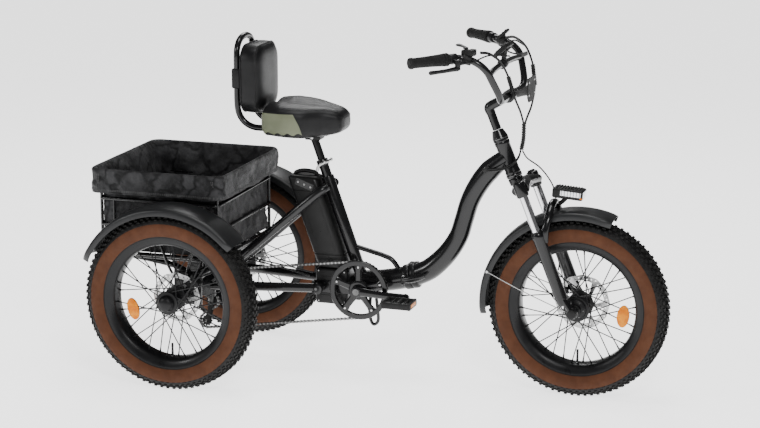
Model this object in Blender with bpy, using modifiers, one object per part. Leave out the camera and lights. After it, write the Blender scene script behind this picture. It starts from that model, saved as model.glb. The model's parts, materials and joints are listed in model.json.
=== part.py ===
"""Adult electric tricycle with a folding frame, in metres.

+X is forward, +Y is the rider's left and +Z is up.  The origin is on the ground, under the middle of the
overall length.  Every sub-part is one object, parented to an empty that stands on its joint's axis.
"""
import math

import bpy
import bmesh
from mathutils import Matrix, Vector

# ---------------------------------------------------------------- driving dimensions
REAR_AXLE_X = -0.6085
FRONT_AXLE_X = 0.6275
AXLE_Z = 0.286
HALF_TRACK = 0.334

TYRE_R = 0.286
TYRE_HALF_W = 0.050
BEAD_R = 0.2035
RIM_INNER_R = 0.185
RIM_HALF_W = 0.0385
WHEEL_STEPS = 26
SPOKES = 36
SPOKE_R = 0.0011
ROTOR_T = 0.002

STEER_TOP = Vector((0.393, 0.0, 0.7435))      # a point on the steering axis, inside the head tube
STEER_DOWN = Vector((0.373, 0.0, -0.928)).normalized()
STEER_FORWARD = Vector((0.928, 0.0, 0.373)).normalized()
LEG_OFFSET = 0.030
LEG_Y = 0.084

SEAT_TUBE_TOP = Vector((-0.195, 0.0, 0.626))
SEAT_TUBE_SLOPE = 0.36
SEAT_TUBE_UP = Vector((-SEAT_TUBE_SLOPE, 0.0, 1.0)).normalized()
SEAT_TUBE_R = 0.020
POST_R = 0.0125

CRANK = Vector((-0.076, 0.0, 0.295))
CRANK_LENGTH = 0.165
CRANK_DROP = math.radians(2)
CHAIN_Y = -0.060
CHAINRING_R = 0.093
SPROCKET_R = 0.0283
JOCKEY_R = 0.0200
JOCKEY_UP = (-0.586, 0.214)
JOCKEY_LOW = (-0.604, 0.146)
CHAIN_HALF_T = 0.0042

HINGE_X = 0.085
HINGE_Y = 0.048
HINGE_Z = 0.338
SEAM = Vector((0.0845, 0, 0.3385))             # middle of the seam between the two frame halves
SEAM_AXIS = Vector((0.971, 0, 0.239))
KNUCKLE_R = 0.0105
MAIN_TUBE_R = 0.032
BOTTOM_TUBE_R = 0.0355

BASKET_REAR = -(FRONT_AXLE_X + TYRE_R / math.cos(math.pi / WHEEL_STEPS))
BASKET_FRONT = -0.4695
BASKET_HALF_W = 0.249
BASKET_TOP = 0.677
BASKET_FLOOR = 0.405
CUFF_DEPTH = 0.080
CUFF_INSET = 0.026
CLOTH = 0.003

GAP = 0.0003

PARTS = None
COLOURS = {
    "gloss_black": ((0.010, 0.010, 0.011), 0.22, 0.0),
    "satin_grey": ((0.045, 0.047, 0.050), 0.45, 0.0),
    "rubber": ((0.016, 0.016, 0.017), 0.80, 0.0),
    "moulded_black": ((0.014, 0.014, 0.015), 0.55, 0.0),
    "chrome": ((0.60, 0.60, 0.61), 0.15, 1.0),
    "steel": ((0.42, 0.42, 0.43), 0.35, 1.0),
    "leather": ((0.018, 0.018, 0.019), 0.45, 0.0),
    "cloth": ((0.030, 0.030, 0.032), 0.90, 0.0),
}


# ---------------------------------------------------------------- scene and materials
def clear_scene():
    for obj in list(bpy.data.objects):
        bpy.data.objects.remove(obj, do_unlink=True)


def new_collection(name):
    coll = bpy.data.collections.new(name)
    bpy.context.scene.collection.children.link(coll)
    return coll


def finish_of(kind, part_name):
    colour, roughness, metallic = COLOURS[kind]
    mat = bpy.data.materials.new(part_name + "_finish")
    mat.use_nodes = True
    bsdf = mat.node_tree.nodes["Principled BSDF"]
    bsdf.inputs["Base Color"].default_value = (*colour, 1.0)
    bsdf.inputs["Roughness"].default_value = roughness
    bsdf.inputs["Metallic"].default_value = metallic
    return mat


# ---------------------------------------------------------------- shape helpers, all in world space
def new_object(name, mesh):
    obj = bpy.data.objects.new(name, mesh)
    PARTS.objects.link(obj)
    return obj


def from_bmesh(bm, name="piece"):
    bmesh.ops.recalc_face_normals(bm, faces=bm.faces)
    mesh = bpy.data.meshes.new(name)
    bm.to_mesh(mesh)
    bm.free()
    return new_object(name, mesh)


def evaluated_mesh(obj):
    bpy.context.view_layer.update()
    graph = bpy.context.evaluated_depsgraph_get()
    return bpy.data.meshes.new_from_object(obj.evaluated_get(graph))


def bake(obj):
    """Replaces an object by its evaluated mesh, in world space."""
    mesh = evaluated_mesh(obj)
    mesh.transform(obj.matrix_world)
    bpy.data.objects.remove(obj, do_unlink=True)
    return new_object("piece", mesh)


def pipe(points, radius, sides=8, radii=None, cyclic=False):
    """A round tube or rod through the points, with filled ends."""
    curve = bpy.data.curves.new("pipe", "CURVE")
    curve.dimensions = "3D"
    curve.bevel_depth = radius
    curve.bevel_resolution = (sides - 4) // 2
    curve.use_fill_caps = not cyclic
    spline = curve.splines.new("POLY")
    spline.points.add(len(points) - 1)
    for i, point in enumerate(points):
        spline.points[i].co = (*point, 1.0)
        spline.points[i].radius = radii[i] if radii else 1.0
    spline.use_cyclic_u = cyclic
    obj = bpy.data.objects.new("pipe", curve)
    PARTS.objects.link(obj)
    mesh = evaluated_mesh(obj)
    bpy.data.objects.remove(obj, do_unlink=True)
    bm = bmesh.new()
    bm.from_mesh(mesh)
    bmesh.ops.remove_doubles(bm, verts=bm.verts, dist=1e-6)
    return from_bmesh(bm)


def smooth_route(points, steps=4):
    """Catmull-Rom points through a route's own points."""
    pts = [Vector(p) for p in points]
    ends = [2 * pts[0] - pts[1]] + pts + [2 * pts[-1] - pts[-2]]
    route = []
    for i in range(1, len(ends) - 2):
        a, b, c, d = ends[i - 1:i + 3]
        for k in range(steps):
            t = k / steps
            route.append(0.5 * (2 * b + (c - a) * t + (2 * a - 5 * b + 4 * c - d) * t * t
                                + (3 * b - a - 3 * c + d) * t ** 3))
    route.append(pts[-1])
    return route


def turn_to(axis):
    return Vector((0, 0, 1)).rotation_difference(Vector(axis).normalized()).to_matrix().to_4x4()


def rod(start, end, radius, sides=12, end_radius=None):
    """A straight cylinder or cone between two points."""
    start, end = Vector(start), Vector(end)
    bm = bmesh.new()
    bmesh.ops.create_cone(bm, cap_ends=True, segments=sides, radius1=radius,
                          radius2=radius if end_radius is None else end_radius, depth=(end - start).length)
    bmesh.ops.transform(bm, verts=bm.verts, matrix=Matrix.Translation((start + end) / 2) @ turn_to(end - start))
    return from_bmesh(bm)


def box(low, high, bevel=0.0, tilt=0.0):
    """A block between two corners, tilted about Y through its middle."""
    low, high = Vector(low), Vector(high)
    bm = bmesh.new()
    bmesh.ops.create_cube(bm, size=1.0)
    bmesh.ops.scale(bm, verts=bm.verts, vec=high - low)
    if bevel:
        bmesh.ops.bevel(bm, geom=bm.edges, offset=bevel, segments=1, affect="EDGES")
    place = Matrix.Translation((low + high) / 2) @ Matrix.Rotation(tilt, 4, "Y")
    bmesh.ops.transform(bm, verts=bm.verts, matrix=place)
    return from_bmesh(bm)


def turned(profile, centre, axis=(0, 1, 0), steps=24, spin=0.0, closed=False):
    """A profile of (radius, height) points turned about an axis; heights run top to bottom outside."""
    mesh = bpy.data.meshes.new("profile")
    count = len(profile)
    edges = [(i, i + 1) for i in range(count - 1)]
    if closed:
        edges.append((count - 1, 0))
    mesh.from_pydata([(r, 0.0, h) for r, h in profile], edges, [])
    obj = new_object("profile", mesh)
    screw = obj.modifiers.new("Screw", "SCREW")
    screw.angle = 2 * math.pi
    screw.steps = steps
    screw.render_steps = steps
    screw.use_merge_vertices = True
    screw.merge_threshold = 1e-5
    obj.matrix_world = Matrix.Translation(centre) @ turn_to(axis) @ Matrix.Rotation(spin, 4, "Z")
    part = bake(obj)
    bm = bmesh.new()
    bm.from_mesh(part.data)
    bmesh.ops.remove_doubles(bm, verts=bm.verts, dist=1e-6)
    bpy.data.objects.remove(part, do_unlink=True)
    return from_bmesh(bm)


def loft(rings):
    """A closed solid through rings that have the same number of points."""
    bm = bmesh.new()
    loops = [[bm.verts.new(p) for p in ring] for ring in rings]
    count = len(rings[0])
    for a, b in zip(loops, loops[1:]):
        for i in range(count):
            j = (i + 1) % count
            bm.faces.new((a[i], a[j], b[j], b[i]))
    bm.faces.new(loops[0])
    bm.faces.new(loops[-1][::-1])
    return from_bmesh(bm)


def boolean(target, tool, operation):
    mod = target.modifiers.new("Boolean", "BOOLEAN")
    mod.operation = operation
    mod.solver = "EXACT"
    mod.object = tool
    result = bake(target)
    bpy.data.objects.remove(tool, do_unlink=True)
    return result


def join(first, *others):
    for other in others:
        first = boolean(first, other, "UNION")
    return first


def cut(target, *tools):
    for tool in tools:
        target = boolean(target, tool, "DIFFERENCE")
    return target


def tidy(obj):
    bm = bmesh.new()
    bm.from_mesh(obj.data)
    bmesh.ops.remove_doubles(bm, verts=bm.verts, dist=2e-6)
    bmesh.ops.dissolve_degenerate(bm, edges=bm.edges, dist=1e-6)
    bmesh.ops.recalc_face_normals(bm, faces=bm.faces)
    bm.to_mesh(obj.data)
    bm.free()


def name_part(obj, name, kind, pivot):
    """Names a piece, gives it its finish and hangs it on the empty of its body."""
    tidy(obj)
    obj.name = name
    obj.data.name = name
    obj.data.transform(Matrix.Translation(-pivot.location))
    obj.parent = pivot
    obj.data.materials.clear()
    obj.data.materials.append(finish_of(kind, name))
    obj.data.shade_smooth()
    obj.data.set_sharp_from_angle(angle=math.radians(35))
    return obj


def new_pivot(name, location):
    empty = bpy.data.objects.new(name, None)
    empty.location = location
    empty.empty_display_size = 0.03
    PARTS.objects.link(empty)
    return empty


def steer_point(down, forward=0.0, y=0.0):
    """A point given along the steering axis, ahead of it and to the side."""
    return STEER_TOP + STEER_DOWN * down + STEER_FORWARD * forward + Vector((0, y, 0))


def seat_point(up, back=0.0, y=0.0):
    """A point given along the seat tube, behind it and to the side."""
    rearward = Vector((-SEAT_TUBE_UP.z, 0, SEAT_TUBE_UP.x))
    return SEAT_TUBE_TOP + SEAT_TUBE_UP * up + rearward * back + Vector((0, y, 0))


# ---------------------------------------------------------------- wheels
def tyre(centre):
    """An open tyre whose tread has a flat at the lowest point."""
    flat = 1 / math.cos(math.pi / WHEEL_STEPS)
    outside = [(BEAD_R, 0.030), (0.235, TYRE_HALF_W), (0.266, 0.047), (TYRE_R * flat, 0.020)]
    inside = [(0.276, 0.018), (0.238, 0.0435)]
    profile = outside + [(r, -h) for r, h in reversed(outside)]
    profile += [(r, -h) for r, h in reversed(inside)] + inside
    return turned(profile, centre, steps=WHEEL_STEPS, spin=math.pi / 2 + math.pi / WHEEL_STEPS, closed=True)


def rim(centre):
    """A wide rim with bead seats, a centre well and two flanges."""
    half = [(0.2105, 0.0355), (0.2105, RIM_HALF_W), (RIM_INNER_R, 0.028)]
    well = [(0.1885, 0.021), (0.2025, 0.0325)]
    profile = half + [(r, -h) for r, h in reversed(half)] + [(r, -h) for r, h in reversed(well)] + well
    return turned(profile, centre, steps=WHEEL_STEPS, spin=math.pi / 2 + math.pi / WHEEL_STEPS, closed=True)


def spoke_cage(centre, flange_r, flange_y):
    """Thirty-six spokes: each flange's lean one way, so none of them cross."""
    bm = bmesh.new()
    outer_r = RIM_INNER_R - 0.0018
    for i in range(SPOKES):
        side = 1 if i % 2 else -1
        angle = 2 * math.pi * i / SPOKES
        start_angle = angle - side * math.radians(38)
        start = Vector((flange_r * math.cos(start_angle), side * flange_y, flange_r * math.sin(start_angle)))
        end = Vector((outer_r * math.cos(angle), side * 0.006, outer_r * math.sin(angle)))
        made = bmesh.ops.create_cone(bm, cap_ends=True, segments=3, radius1=SPOKE_R, radius2=SPOKE_R,
                                     depth=(end - start).length)
        place = Matrix.Translation(Vector(centre) + (start + end) / 2) @ turn_to(end - start)
        bmesh.ops.transform(bm, verts=made["verts"], matrix=place)
    return from_bmesh(bm)


def rear_hub(side):
    """A rear hub with its end cap and the half-axle that runs in to the middle of the trike."""
    out = side
    steps = [(0, 0.062), (0.022, 0.060), (0.025, 0.038), (0.037, 0.036), (0.037, 0.029), (0.024, 0.026),
             (0.024, -0.026), (0.037, -0.029), (0.037, -0.036), (0.025, -0.038), (0.025, -0.0425),
             (0.0085, -0.0425), (0.0085, -0.324), (0, -0.324)]
    centre = (REAR_AXLE_X, side * HALF_TRACK, AXLE_Z)
    hub = turned(steps, centre, axis=(0, out, 0), steps=12)
    return join(hub, spoke_cage(centre, 0.0345, 0.032))


def front_hub():
    steps = [(0.020, 0.062), (0.020, 0.047), (0.034, 0.043), (0.041, 0.036), (0.041, 0.029), (0.031, 0.026),
             (0.031, -0.026), (0.041, -0.029), (0.041, -0.036), (0.034, -0.043), (0.020, -0.047),
             (0.020, -0.062), (0.0070, -0.062), (0.0070, 0.062)]
    centre = (FRONT_AXLE_X, 0, AXLE_Z)
    hub = turned(steps, centre, steps=16, closed=True)
    return join(hub, spoke_cage(centre, 0.0385, 0.0325))


def rotor(centre, radius, bore):
    """A brake disc: a ring on six arms and a hub plate."""
    middle = (radius - 0.018 + bore + 0.010) / 2
    hole_r = min((radius - 0.018 - bore - 0.010) / 2, middle * 0.40)
    x, y, z = centre
    disc = turned([(radius, ROTOR_T / 2), (radius, -ROTOR_T / 2), (bore, -ROTOR_T / 2), (bore, ROTOR_T / 2)],
                  centre, steps=20, closed=True)
    for i in range(6):
        angle = math.radians(60 * i + 30)
        hole = rod((x + middle * math.cos(angle), y - 0.01, z + middle * math.sin(angle)),
                   (x + middle * math.cos(angle), y + 0.01, z + middle * math.sin(angle)),
                   hole_r, sides=6)
        disc = cut(disc, hole)
    return disc


def fender(centre, start, end, half_w, crown_r):
    """A curved mudguard with short side skirts, over an arc given in degrees above the horizontal."""
    drop = 0.027
    skin = 0.003
    outline = [(-half_w, -drop), (-half_w + 0.006, -0.007), (0, 0), (half_w - 0.006, -0.007), (half_w, -drop)]
    inner = [(half_w - skin, -drop), (half_w - 0.009, -0.009), (0, -skin), (-half_w + 0.009, -0.009),
             (-half_w + skin, -drop)]
    rings = []
    steps = 12
    for i in range(steps + 1):
        angle = math.radians(start + (end - start) * i / steps)
        ring = []
        for y, dr in outline + inner:
            r = crown_r + dr
            ring.append((centre[0] + r * math.cos(angle), centre[1] + y, centre[2] + r * math.sin(angle)))
        rings.append(ring)
    return loft(rings)


def caliper(centre, disc_y, mount_y, angle, radius, reach=0.0):
    """A disc caliper that straddles the rotor, with its adapter to the frame side."""
    a = math.radians(angle)
    cx = centre[0] + radius * math.cos(a)
    cz = centre[2] + radius * math.sin(a)
    out = math.copysign(1, disc_y - mount_y)
    far = disc_y + out * 0.011
    near = disc_y - out * 0.022
    body = box((cx - 0.021, min(far, near), cz - 0.021), (cx + 0.021, max(far, near), cz + 0.021), 0.004, -a)
    slot = turned([(0, 0.0025), (radius + 0.014, 0.0025), (radius + 0.014, -0.0025), (0, -0.0025)],
                  (centre[0], disc_y, centre[2]), steps=32)
    body = cut(body, slot)
    root = near + out * 0.004
    arm = box((cx - 0.012, min(root, mount_y), cz - 0.012), (cx + 0.012 + reach, max(root, mount_y), cz + 0.012))
    return join(body, arm)


def front_caliper():
    """The front caliper, shaped to the back of the left fork leg."""
    part = caliper((FRONT_AXLE_X, 0, AXLE_Z), 0.0540, 0.0860, 160, 0.080, 0.014)
    leg = rod(steer_point(0.240, LEG_OFFSET, LEG_Y), steer_point(0.540, LEG_OFFSET, LEG_Y), 0.0198 + 2 * GAP, 14)
    return cut(part, leg)


def build_wheels(pivots):
    for label, side in (("right", -1), ("left", 1)):
        centre = (REAR_AXLE_X, side * HALF_TRACK, AXLE_Z)
        pivot = pivots["rear_wheel_" + label]
        name_part(tyre(centre), "rear_tyre_" + label, "rubber", pivot)
        name_part(rim(centre), "rear_rim_" + label, "moulded_black", pivot)
        name_part(rear_hub(side), "rear_hub_" + label, "moulded_black", pivot)
        disc_centre = (REAR_AXLE_X, side * (HALF_TRACK - 0.0440), AXLE_Z)
        name_part(rotor(disc_centre, 0.080, 0.0095), "rear_rotor_" + label, "steel", pivot)
    centre = (FRONT_AXLE_X, 0, AXLE_Z)
    pivot = pivots["front_wheel"]
    name_part(tyre(centre), "front_tyre", "rubber", pivot)
    name_part(rim(centre), "front_rim", "moulded_black", pivot)
    name_part(front_hub(), "front_hub", "moulded_black", pivot)
    name_part(rotor((FRONT_AXLE_X, 0.0540, AXLE_Z), 0.088, 0.0205), "front_rotor", "steel", pivot)


# ---------------------------------------------------------------- frames
def main_frame_rear():
    """Seat tube with its sleeve and clamp, bottom bracket, oval bottom tube, brace and rear hinge half."""
    seat_tube = rod(seat_point(-0.345), seat_point(0.022), SEAT_TUBE_R, 16)
    sleeve = rod(seat_point(0.015), seat_point(0.072), 0.0158, 16)
    clamp = rod(seat_point(0.058), seat_point(0.078), 0.0190, 16)
    shell = rod((CRANK.x, -0.0460, CRANK.z), (CRANK.x, 0.0460, CRANK.z), 0.024, 14)
    bottom = pipe([(-0.085, 0, 0.3075), (-0.03, 0, 0.3135), (0.0670, 0, 0.3345)], BOTTOM_TUBE_R, 12)
    brace = pipe(smooth_route([(-0.118, 0, 0.424), (-0.06, 0, 0.410), (-0.012, 0, 0.398), (0.018, 0, 0.384),
                               (0.046, 0, 0.346)], 2), 0.008, 6)
    collar = rod(SEAM - SEAM_AXIS * 0.0260, SEAM - SEAM_AXIS * 0.0005, 0.040, 16)
    room = rod((HINGE_X, HINGE_Y, 0.3150), (HINGE_X, HINGE_Y, 0.3610), KNUCKLE_R + 0.0010, 14)
    collar = cut(collar, room)
    lug_top = box((0.060, 0.020, 0.361), (0.094, HINGE_Y + 0.009, 0.373), 0.002)
    lug_low = box((0.060, 0.020, 0.303), (0.094, HINGE_Y + 0.009, 0.315), 0.002)
    pin = rod((HINGE_X, HINGE_Y, 0.299), (HINGE_X, HINGE_Y, 0.377), 0.0045, 12)
    loop = pipe([(-0.060, 0.012, 0.272), (-0.060, 0, 0.186), (-0.046, 0, 0.166), (-0.030, 0, 0.180),
                 (-0.042, 0, 0.288)], 0.0045, 6)
    stay_boss = rod(seat_point(-0.009, 0, -0.0232), seat_point(-0.009, 0, 0.0232), 0.011, 12)
    latch_lug = box((0.062, -0.0475, 0.326), (0.078, -0.030, 0.350), 0.002)
    frame = join(seat_tube, sleeve, clamp, shell, bottom, brace, collar, lug_top, lug_low, pin, loop,
                 stay_boss, latch_lug)
    for side in (-1, 1):
        plate = box((-0.236, min(side * 0.0405, side * 0.0445), 0.272), (-0.07, max(side * 0.0405, side * 0.0445),
                                                                         0.310))
        frame = join(frame, plate)
    bore = rod(seat_point(-0.262), seat_point(0.09), POST_R + 0.0008, 16)
    return cut(frame, bore)


def rear_subframe():
    """Stays, cross tube, axle plates, basket rails and mudguard struts, welded into one."""
    cross_z = 0.3460
    cross_x = -0.560
    frame = pipe([(cross_x, -0.238, cross_z), (cross_x, 0.238, cross_z)], 0.016, 10)
    pieces = []
    for side in (-1, 1):
        upper = [(-0.190, side * 0.0375, 0.6200), (-0.218, side * 0.0600, 0.5980), (-0.436, side * 0.1030, 0.4070),
                 (-0.556, side * 0.1250, 0.3060)]
        pieces.append(pipe(upper, 0.0140, 8))
        pieces.append(pipe([(-0.214, side * 0.0625, 0.2900), (-0.560, side * 0.1250, 0.2860)], 0.0150, 10))
        pieces.append(rod((-0.216, side * 0.0452, 0.2900), (-0.216, side * 0.0780, 0.2900), 0.0190, 12))
        for y in (0.125, 0.235):
            plate = box((-0.640, side * y - 0.005, 0.250), (-0.546, side * y + 0.005, 0.358), 0.0)
            housing = rod((REAR_AXLE_X, side * y - 0.010, AXLE_Z), (REAR_AXLE_X, side * y + 0.010, AXLE_Z),
                          0.0210, 12)
            hole = rod((REAR_AXLE_X, side * y - 0.02, AXLE_Z), (REAR_AXLE_X, side * y + 0.02, AXLE_Z), 0.0098, 12)
            pieces.append(cut(join(plate, housing), hole))
        pieces.append(pipe([(-0.5150, side * 0.170, 0.380), (-0.870, side * 0.170, 0.380)], 0.0098, 8))
        pieces.append(pipe([(-0.630, side * 0.125, 0.320), (-0.680, side * 0.150, 0.350),
                            (-0.835, side * 0.170, 0.380)], 0.0098, 8))
        pieces.append(pipe([(cross_x, side * 0.170, cross_z), (cross_x, side * 0.170, 0.380)], 0.0098, 8))
        for angle in (72, 112):
            a = math.radians(angle)
            top = (REAR_AXLE_X + 0.302 * math.cos(a), side * 0.2640, AXLE_Z + 0.302 * math.sin(a))
            knee = (REAR_AXLE_X + 0.085 * math.cos(a), side * 0.2640, AXLE_Z + 0.085 * math.sin(a))
            foot = (REAR_AXLE_X + 0.045 * math.cos(a), side * 0.2350, AXLE_Z + 0.045 * math.sin(a))
            pieces.append(pipe([foot, knee, top], 0.0045, 6))
    return join(frame, *pieces)


def main_frame_front():
    """The S-shaped tube, the head tube with its cups, and the front hinge half."""
    path = [(0.1000, 0, 0.3440), (0.147, 0, 0.370), (0.200, 0, 0.423), (0.236, 0, 0.481), (0.254, 0, 0.538),
            (0.272, 0, 0.598), (0.300, 0, 0.653), (0.336, 0, 0.701), (0.384, 0, 0.744)]
    taper = [1.08, 1.08, 1.02, 0.97, 0.95, 0.96, 1.0, 1.03, 0.80]
    tube = pipe(smooth_route(path, 2), MAIN_TUBE_R, 12,
                [taper[min(i // 2, 8)] * 0.5 + taper[min((i + 1) // 2, 8)] * 0.5 for i in range(17)])
    head = turned([(0, 0.094), (0.0185, 0.094), (0.0250, 0.071), (0.0250, 0.056), (0.0242, 0.054),
                   (0.0242, -0.062), (0, -0.062)], STEER_TOP, axis=-STEER_DOWN, steps=16)
    collar = rod(SEAM + SEAM_AXIS * 0.0005, SEAM + SEAM_AXIS * 0.0240, 0.040, 16)
    knuckle = rod((HINGE_X, HINGE_Y, 0.3155), (HINGE_X, HINGE_Y, 0.3605), KNUCKLE_R, 14)
    web = box((0.0925, 0.026, 0.3190), (0.1050, HINGE_Y + 0.002, 0.3570))
    bridge = box((HINGE_X, 0.0412, 0.3160), (0.1060, HINGE_Y + 0.004, 0.3600))
    frame = join(tube, head, collar, knuckle, web, bridge)
    room_top = box((0.056, 0.012, 0.3605), (0.101, HINGE_Y + 0.02, 0.3760))
    room_low = box((0.056, 0.012, 0.3000), (0.101, HINGE_Y + 0.02, 0.3155))
    pin_bore = rod((HINGE_X, HINGE_Y, 0.290), (HINGE_X, HINGE_Y, 0.390), 0.0054, 12)
    steerer_bore = rod(steer_point(0.09), steer_point(-0.12), 0.0160, 18)
    port = box((0.322, -0.040, 0.702), (0.345, -0.0275, 0.718), 0.0)
    return cut(frame, room_top, room_low, pin_bore, steerer_bore, port)


def hinge_latch():
    """The lever that clamps the folding hinge shut, along the right side."""
    arm = pipe([(0.0725, -0.0560, 0.3380), (0.108, -0.0570, 0.3450), (0.140, -0.0540, 0.3580)], 0.0065, 8,
               [1.0, 1.0, 0.8])
    hub = rod((0.0700, -0.0560, 0.3250), (0.0700, -0.0560, 0.3510), 0.0078, 12)
    return join(hub, arm)


def fork_crown():
    steerer = rod(steer_point(0.085), steer_point(-0.0955), 0.0140, 14)
    race = rod(steer_point(0.0640), steer_point(0.0850), 0.0240, 16)
    bridge = loft([[steer_point(down, fwd, y) for down, fwd in
                    ((0.070, -0.014), (0.070, 0.034), (0.104, 0.046), (0.108, -0.004))]
                   for y in (-0.070, -0.03, 0.03, 0.070)])
    crown = join(steerer, race, bridge)
    for side in (-1, 1):
        socket = rod(steer_point(0.0720, LEG_OFFSET, side * LEG_Y), steer_point(0.1200, LEG_OFFSET, side * LEG_Y),
                     0.0195, 14)
        crown = join(crown, socket)
    return crown


def stanchion(side):
    return rod(steer_point(0.1200 + GAP, LEG_OFFSET, side * LEG_Y), steer_point(0.392, LEG_OFFSET, side * LEG_Y),
               0.0140, 14)


def fork_lowers():
    """Lower legs with the arch in front of the stanchions, the dropouts and the front axle."""
    arch = pipe(smooth_route([steer_point(0.262, LEG_OFFSET + 0.016, -LEG_Y), steer_point(0.222, 0.066, -0.078),
                              steer_point(0.186, 0.083, -0.050), steer_point(0.174, 0.090, 0.0),
                              steer_point(0.186, 0.083, 0.050), steer_point(0.222, 0.066, 0.078),
                              steer_point(0.262, LEG_OFFSET + 0.016, LEG_Y)], 2), 0.0120, 8)
    axle = rod((FRONT_AXLE_X, -0.092, AXLE_Z), (FRONT_AXLE_X, 0.092, AXLE_Z), 0.0060, 12)
    lowers = arch
    for side in (-1, 1):
        leg = rod(steer_point(0.240, LEG_OFFSET, side * LEG_Y), steer_point(0.482, LEG_OFFSET, side * LEG_Y),
                  0.0198, 14)
        foot = loft([[steer_point(down, fwd, side * LEG_Y + off) for down, fwd in
                      ((0.440, 0.020), (0.440, 0.046), (0.505, 0.066), (0.532, 0.052), (0.522, 0.028))]
                     for off in (-0.009, 0.009)])
        lowers = join(lowers, leg, foot)
    lowers = join(lowers, axle)
    for side in (-1, 1):
        bore = rod(steer_point(0.15, LEG_OFFSET, side * LEG_Y), steer_point(0.455, LEG_OFFSET, side * LEG_Y),
                   0.0150, 14)
        lowers = cut(lowers, bore)
    return lowers


# ---------------------------------------------------------------- handlebar and controls
BAR_R = 0.0110
BAR_HALF = [(0.398, 0.0, 0.942), (0.398, 0.085, 0.942), (0.4015, 0.128, 0.946), (0.402, 0.153, 0.968),
            (0.388, 0.180, 1.012), (0.3755, 0.195, 1.043), (0.352, 0.202, 1.066), (0.320, 0.2040, 1.080),
            (0.2945, 0.2122, 1.0841), (0.177, 0.331, 1.080)]
GRIP_IN = Vector((0.2665, 0.2405, 1.0832))
GRIP_END = Vector((0.177, 0.331, 1.080))


def bar_side(point, side):
    return Vector((point[0], side * point[1], point[2]))


def handlebar():
    half = [Vector(p) for p in BAR_HALF]
    route = [bar_side(p, -1) for p in reversed(half[1:])] + half
    bar = pipe(route, BAR_R, 10)
    cross = pipe([(0.3795, -0.1870, 1.032), (0.374, -0.11, 1.037), (0.3725, 0, 1.0385), (0.374, 0.11, 1.037),
                  (0.3795, 0.1870, 1.032)], 0.0095, 8)
    return join(bar, cross)


def grip(side):
    inner, end = bar_side(GRIP_IN, side), bar_side(GRIP_END, side)
    axis = (end - inner).normalized()
    outer = rod(inner, end + axis * 0.004, 0.0165, 14)
    bore = rod(inner - axis * 0.01, end + axis * 0.0010, BAR_R + 0.0008, 14)
    return cut(outer, bore)


def perch(side):
    """The brake lever's clamp, with ears in front of the bar for the lever's pivot."""
    inner, end = bar_side(GRIP_IN, side), bar_side(GRIP_END, side)
    axis = (end - inner).normalized()
    ahead = Vector((side * axis.y, -side * axis.x, 0)).normalized()
    start = inner - axis * 0.0285
    clamp = rod(start, inner - axis * 0.0015, 0.0165, 14)
    body = pipe([start + axis * 0.012, start + axis * 0.012 + ahead * 0.030 - Vector((0, 0, 0.010))], 0.0080, 8)
    fork = rod(start + axis * 0.012 + ahead * 0.031 + Vector((0, 0, -0.020)),
               start + axis * 0.012 + ahead * 0.031 + Vector((0, 0, 0.000)), 0.0085, 12)
    bore = rod(start - axis * 0.01, inner + axis * 0.01, BAR_R + 0.0008, 14)
    return cut(join(clamp, body, fork), bore)


def brake_pivot(side):
    inner, end = bar_side(GRIP_IN, side), bar_side(GRIP_END, side)
    axis = (end - inner).normalized()
    ahead = Vector((side * axis.y, -side * axis.x, 0)).normalized()
    return inner - axis * 0.0165 + ahead * 0.031 + Vector((0, 0, -0.0250)), axis, ahead


def brake_lever(side):
    """A blade under the perch that reaches back along the grip."""
    pivot, axis, ahead = brake_pivot(side)
    eye = rod(pivot + Vector((0, 0, -0.0045)), pivot + Vector((0, 0, 0.0045)), 0.0080, 12)
    blade = pipe([pivot, pivot + axis * 0.030 + ahead * 0.008, pivot + axis * 0.070 + ahead * 0.018,
                  pivot + axis * 0.105 + ahead * 0.020], 0.0048, 8, [1.0, 1.0, 0.9, 1.1])
    return join(eye, blade)


def shifter():
    """The gear shifter's housing, clamped inboard of the right brake perch."""
    clamp = rod((0.329, -0.2030, 1.0770), (0.303, -0.2100, 1.0830), 0.0160, 12)
    housing = box((0.299, -0.216, 1.0905), (0.341, -0.186, 1.1110), 0.004)
    bore = pipe([bar_side(p, -1) for p in BAR_HALF[6:9]], BAR_R + 0.0012, 10)
    return cut(join(clamp, housing), bore)


SHIFT_PIVOT = Vector((0.310, -0.200, 1.1114))


def shift_lever():
    """The thumb lever on top of the shifter's housing."""
    eye = rod(SHIFT_PIVOT, SHIFT_PIVOT + Vector((0, 0, 0.005)), 0.0085, 12)
    arm = pipe([SHIFT_PIVOT + Vector((0, 0, 0.0025)), SHIFT_PIVOT + Vector((-0.020, 0.018, 0.006)),
                SHIFT_PIVOT + Vector((-0.034, 0.036, 0.004))], 0.0040, 8, [0.6, 1.0, 1.3])
    return join(eye, arm)


FACE_TILT = math.radians(-43)


def display():
    """The screen, tilted to the rider, with its clamp on the cross bar."""
    slab = box((0.351, -0.0425, 1.0790), (0.399, 0.0425, 1.0910), 0.003, FACE_TILT)
    neck = rod((0.3745, 0, 1.046), (0.3745, 0, 1.084), 0.0080, 10)
    collar = rod((0.3726, -0.016, 1.0385), (0.3726, 0.016, 1.0385), 0.0150, 12)
    bore = rod((0.3726, -0.03, 1.0385), (0.3726, 0.03, 1.0385), 0.0108, 12)
    return cut(join(slab, neck, collar), bore)


def control_pad():
    """The assist keypad, clamped inboard of the left brake perch."""
    clamp = rod((0.329, 0.2030, 1.0770), (0.303, 0.2100, 1.0830), 0.0160, 12)
    pad = box((0.299, 0.188, 1.0960), (0.341, 0.218, 1.1060), 0.003, FACE_TILT)
    neck = box((0.310, 0.196, 1.0860), (0.326, 0.210, 1.1020))
    bore = pipe(BAR_HALF[6:9], BAR_R + 0.0012, 10)
    return cut(join(clamp, neck, pad), bore)


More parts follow.
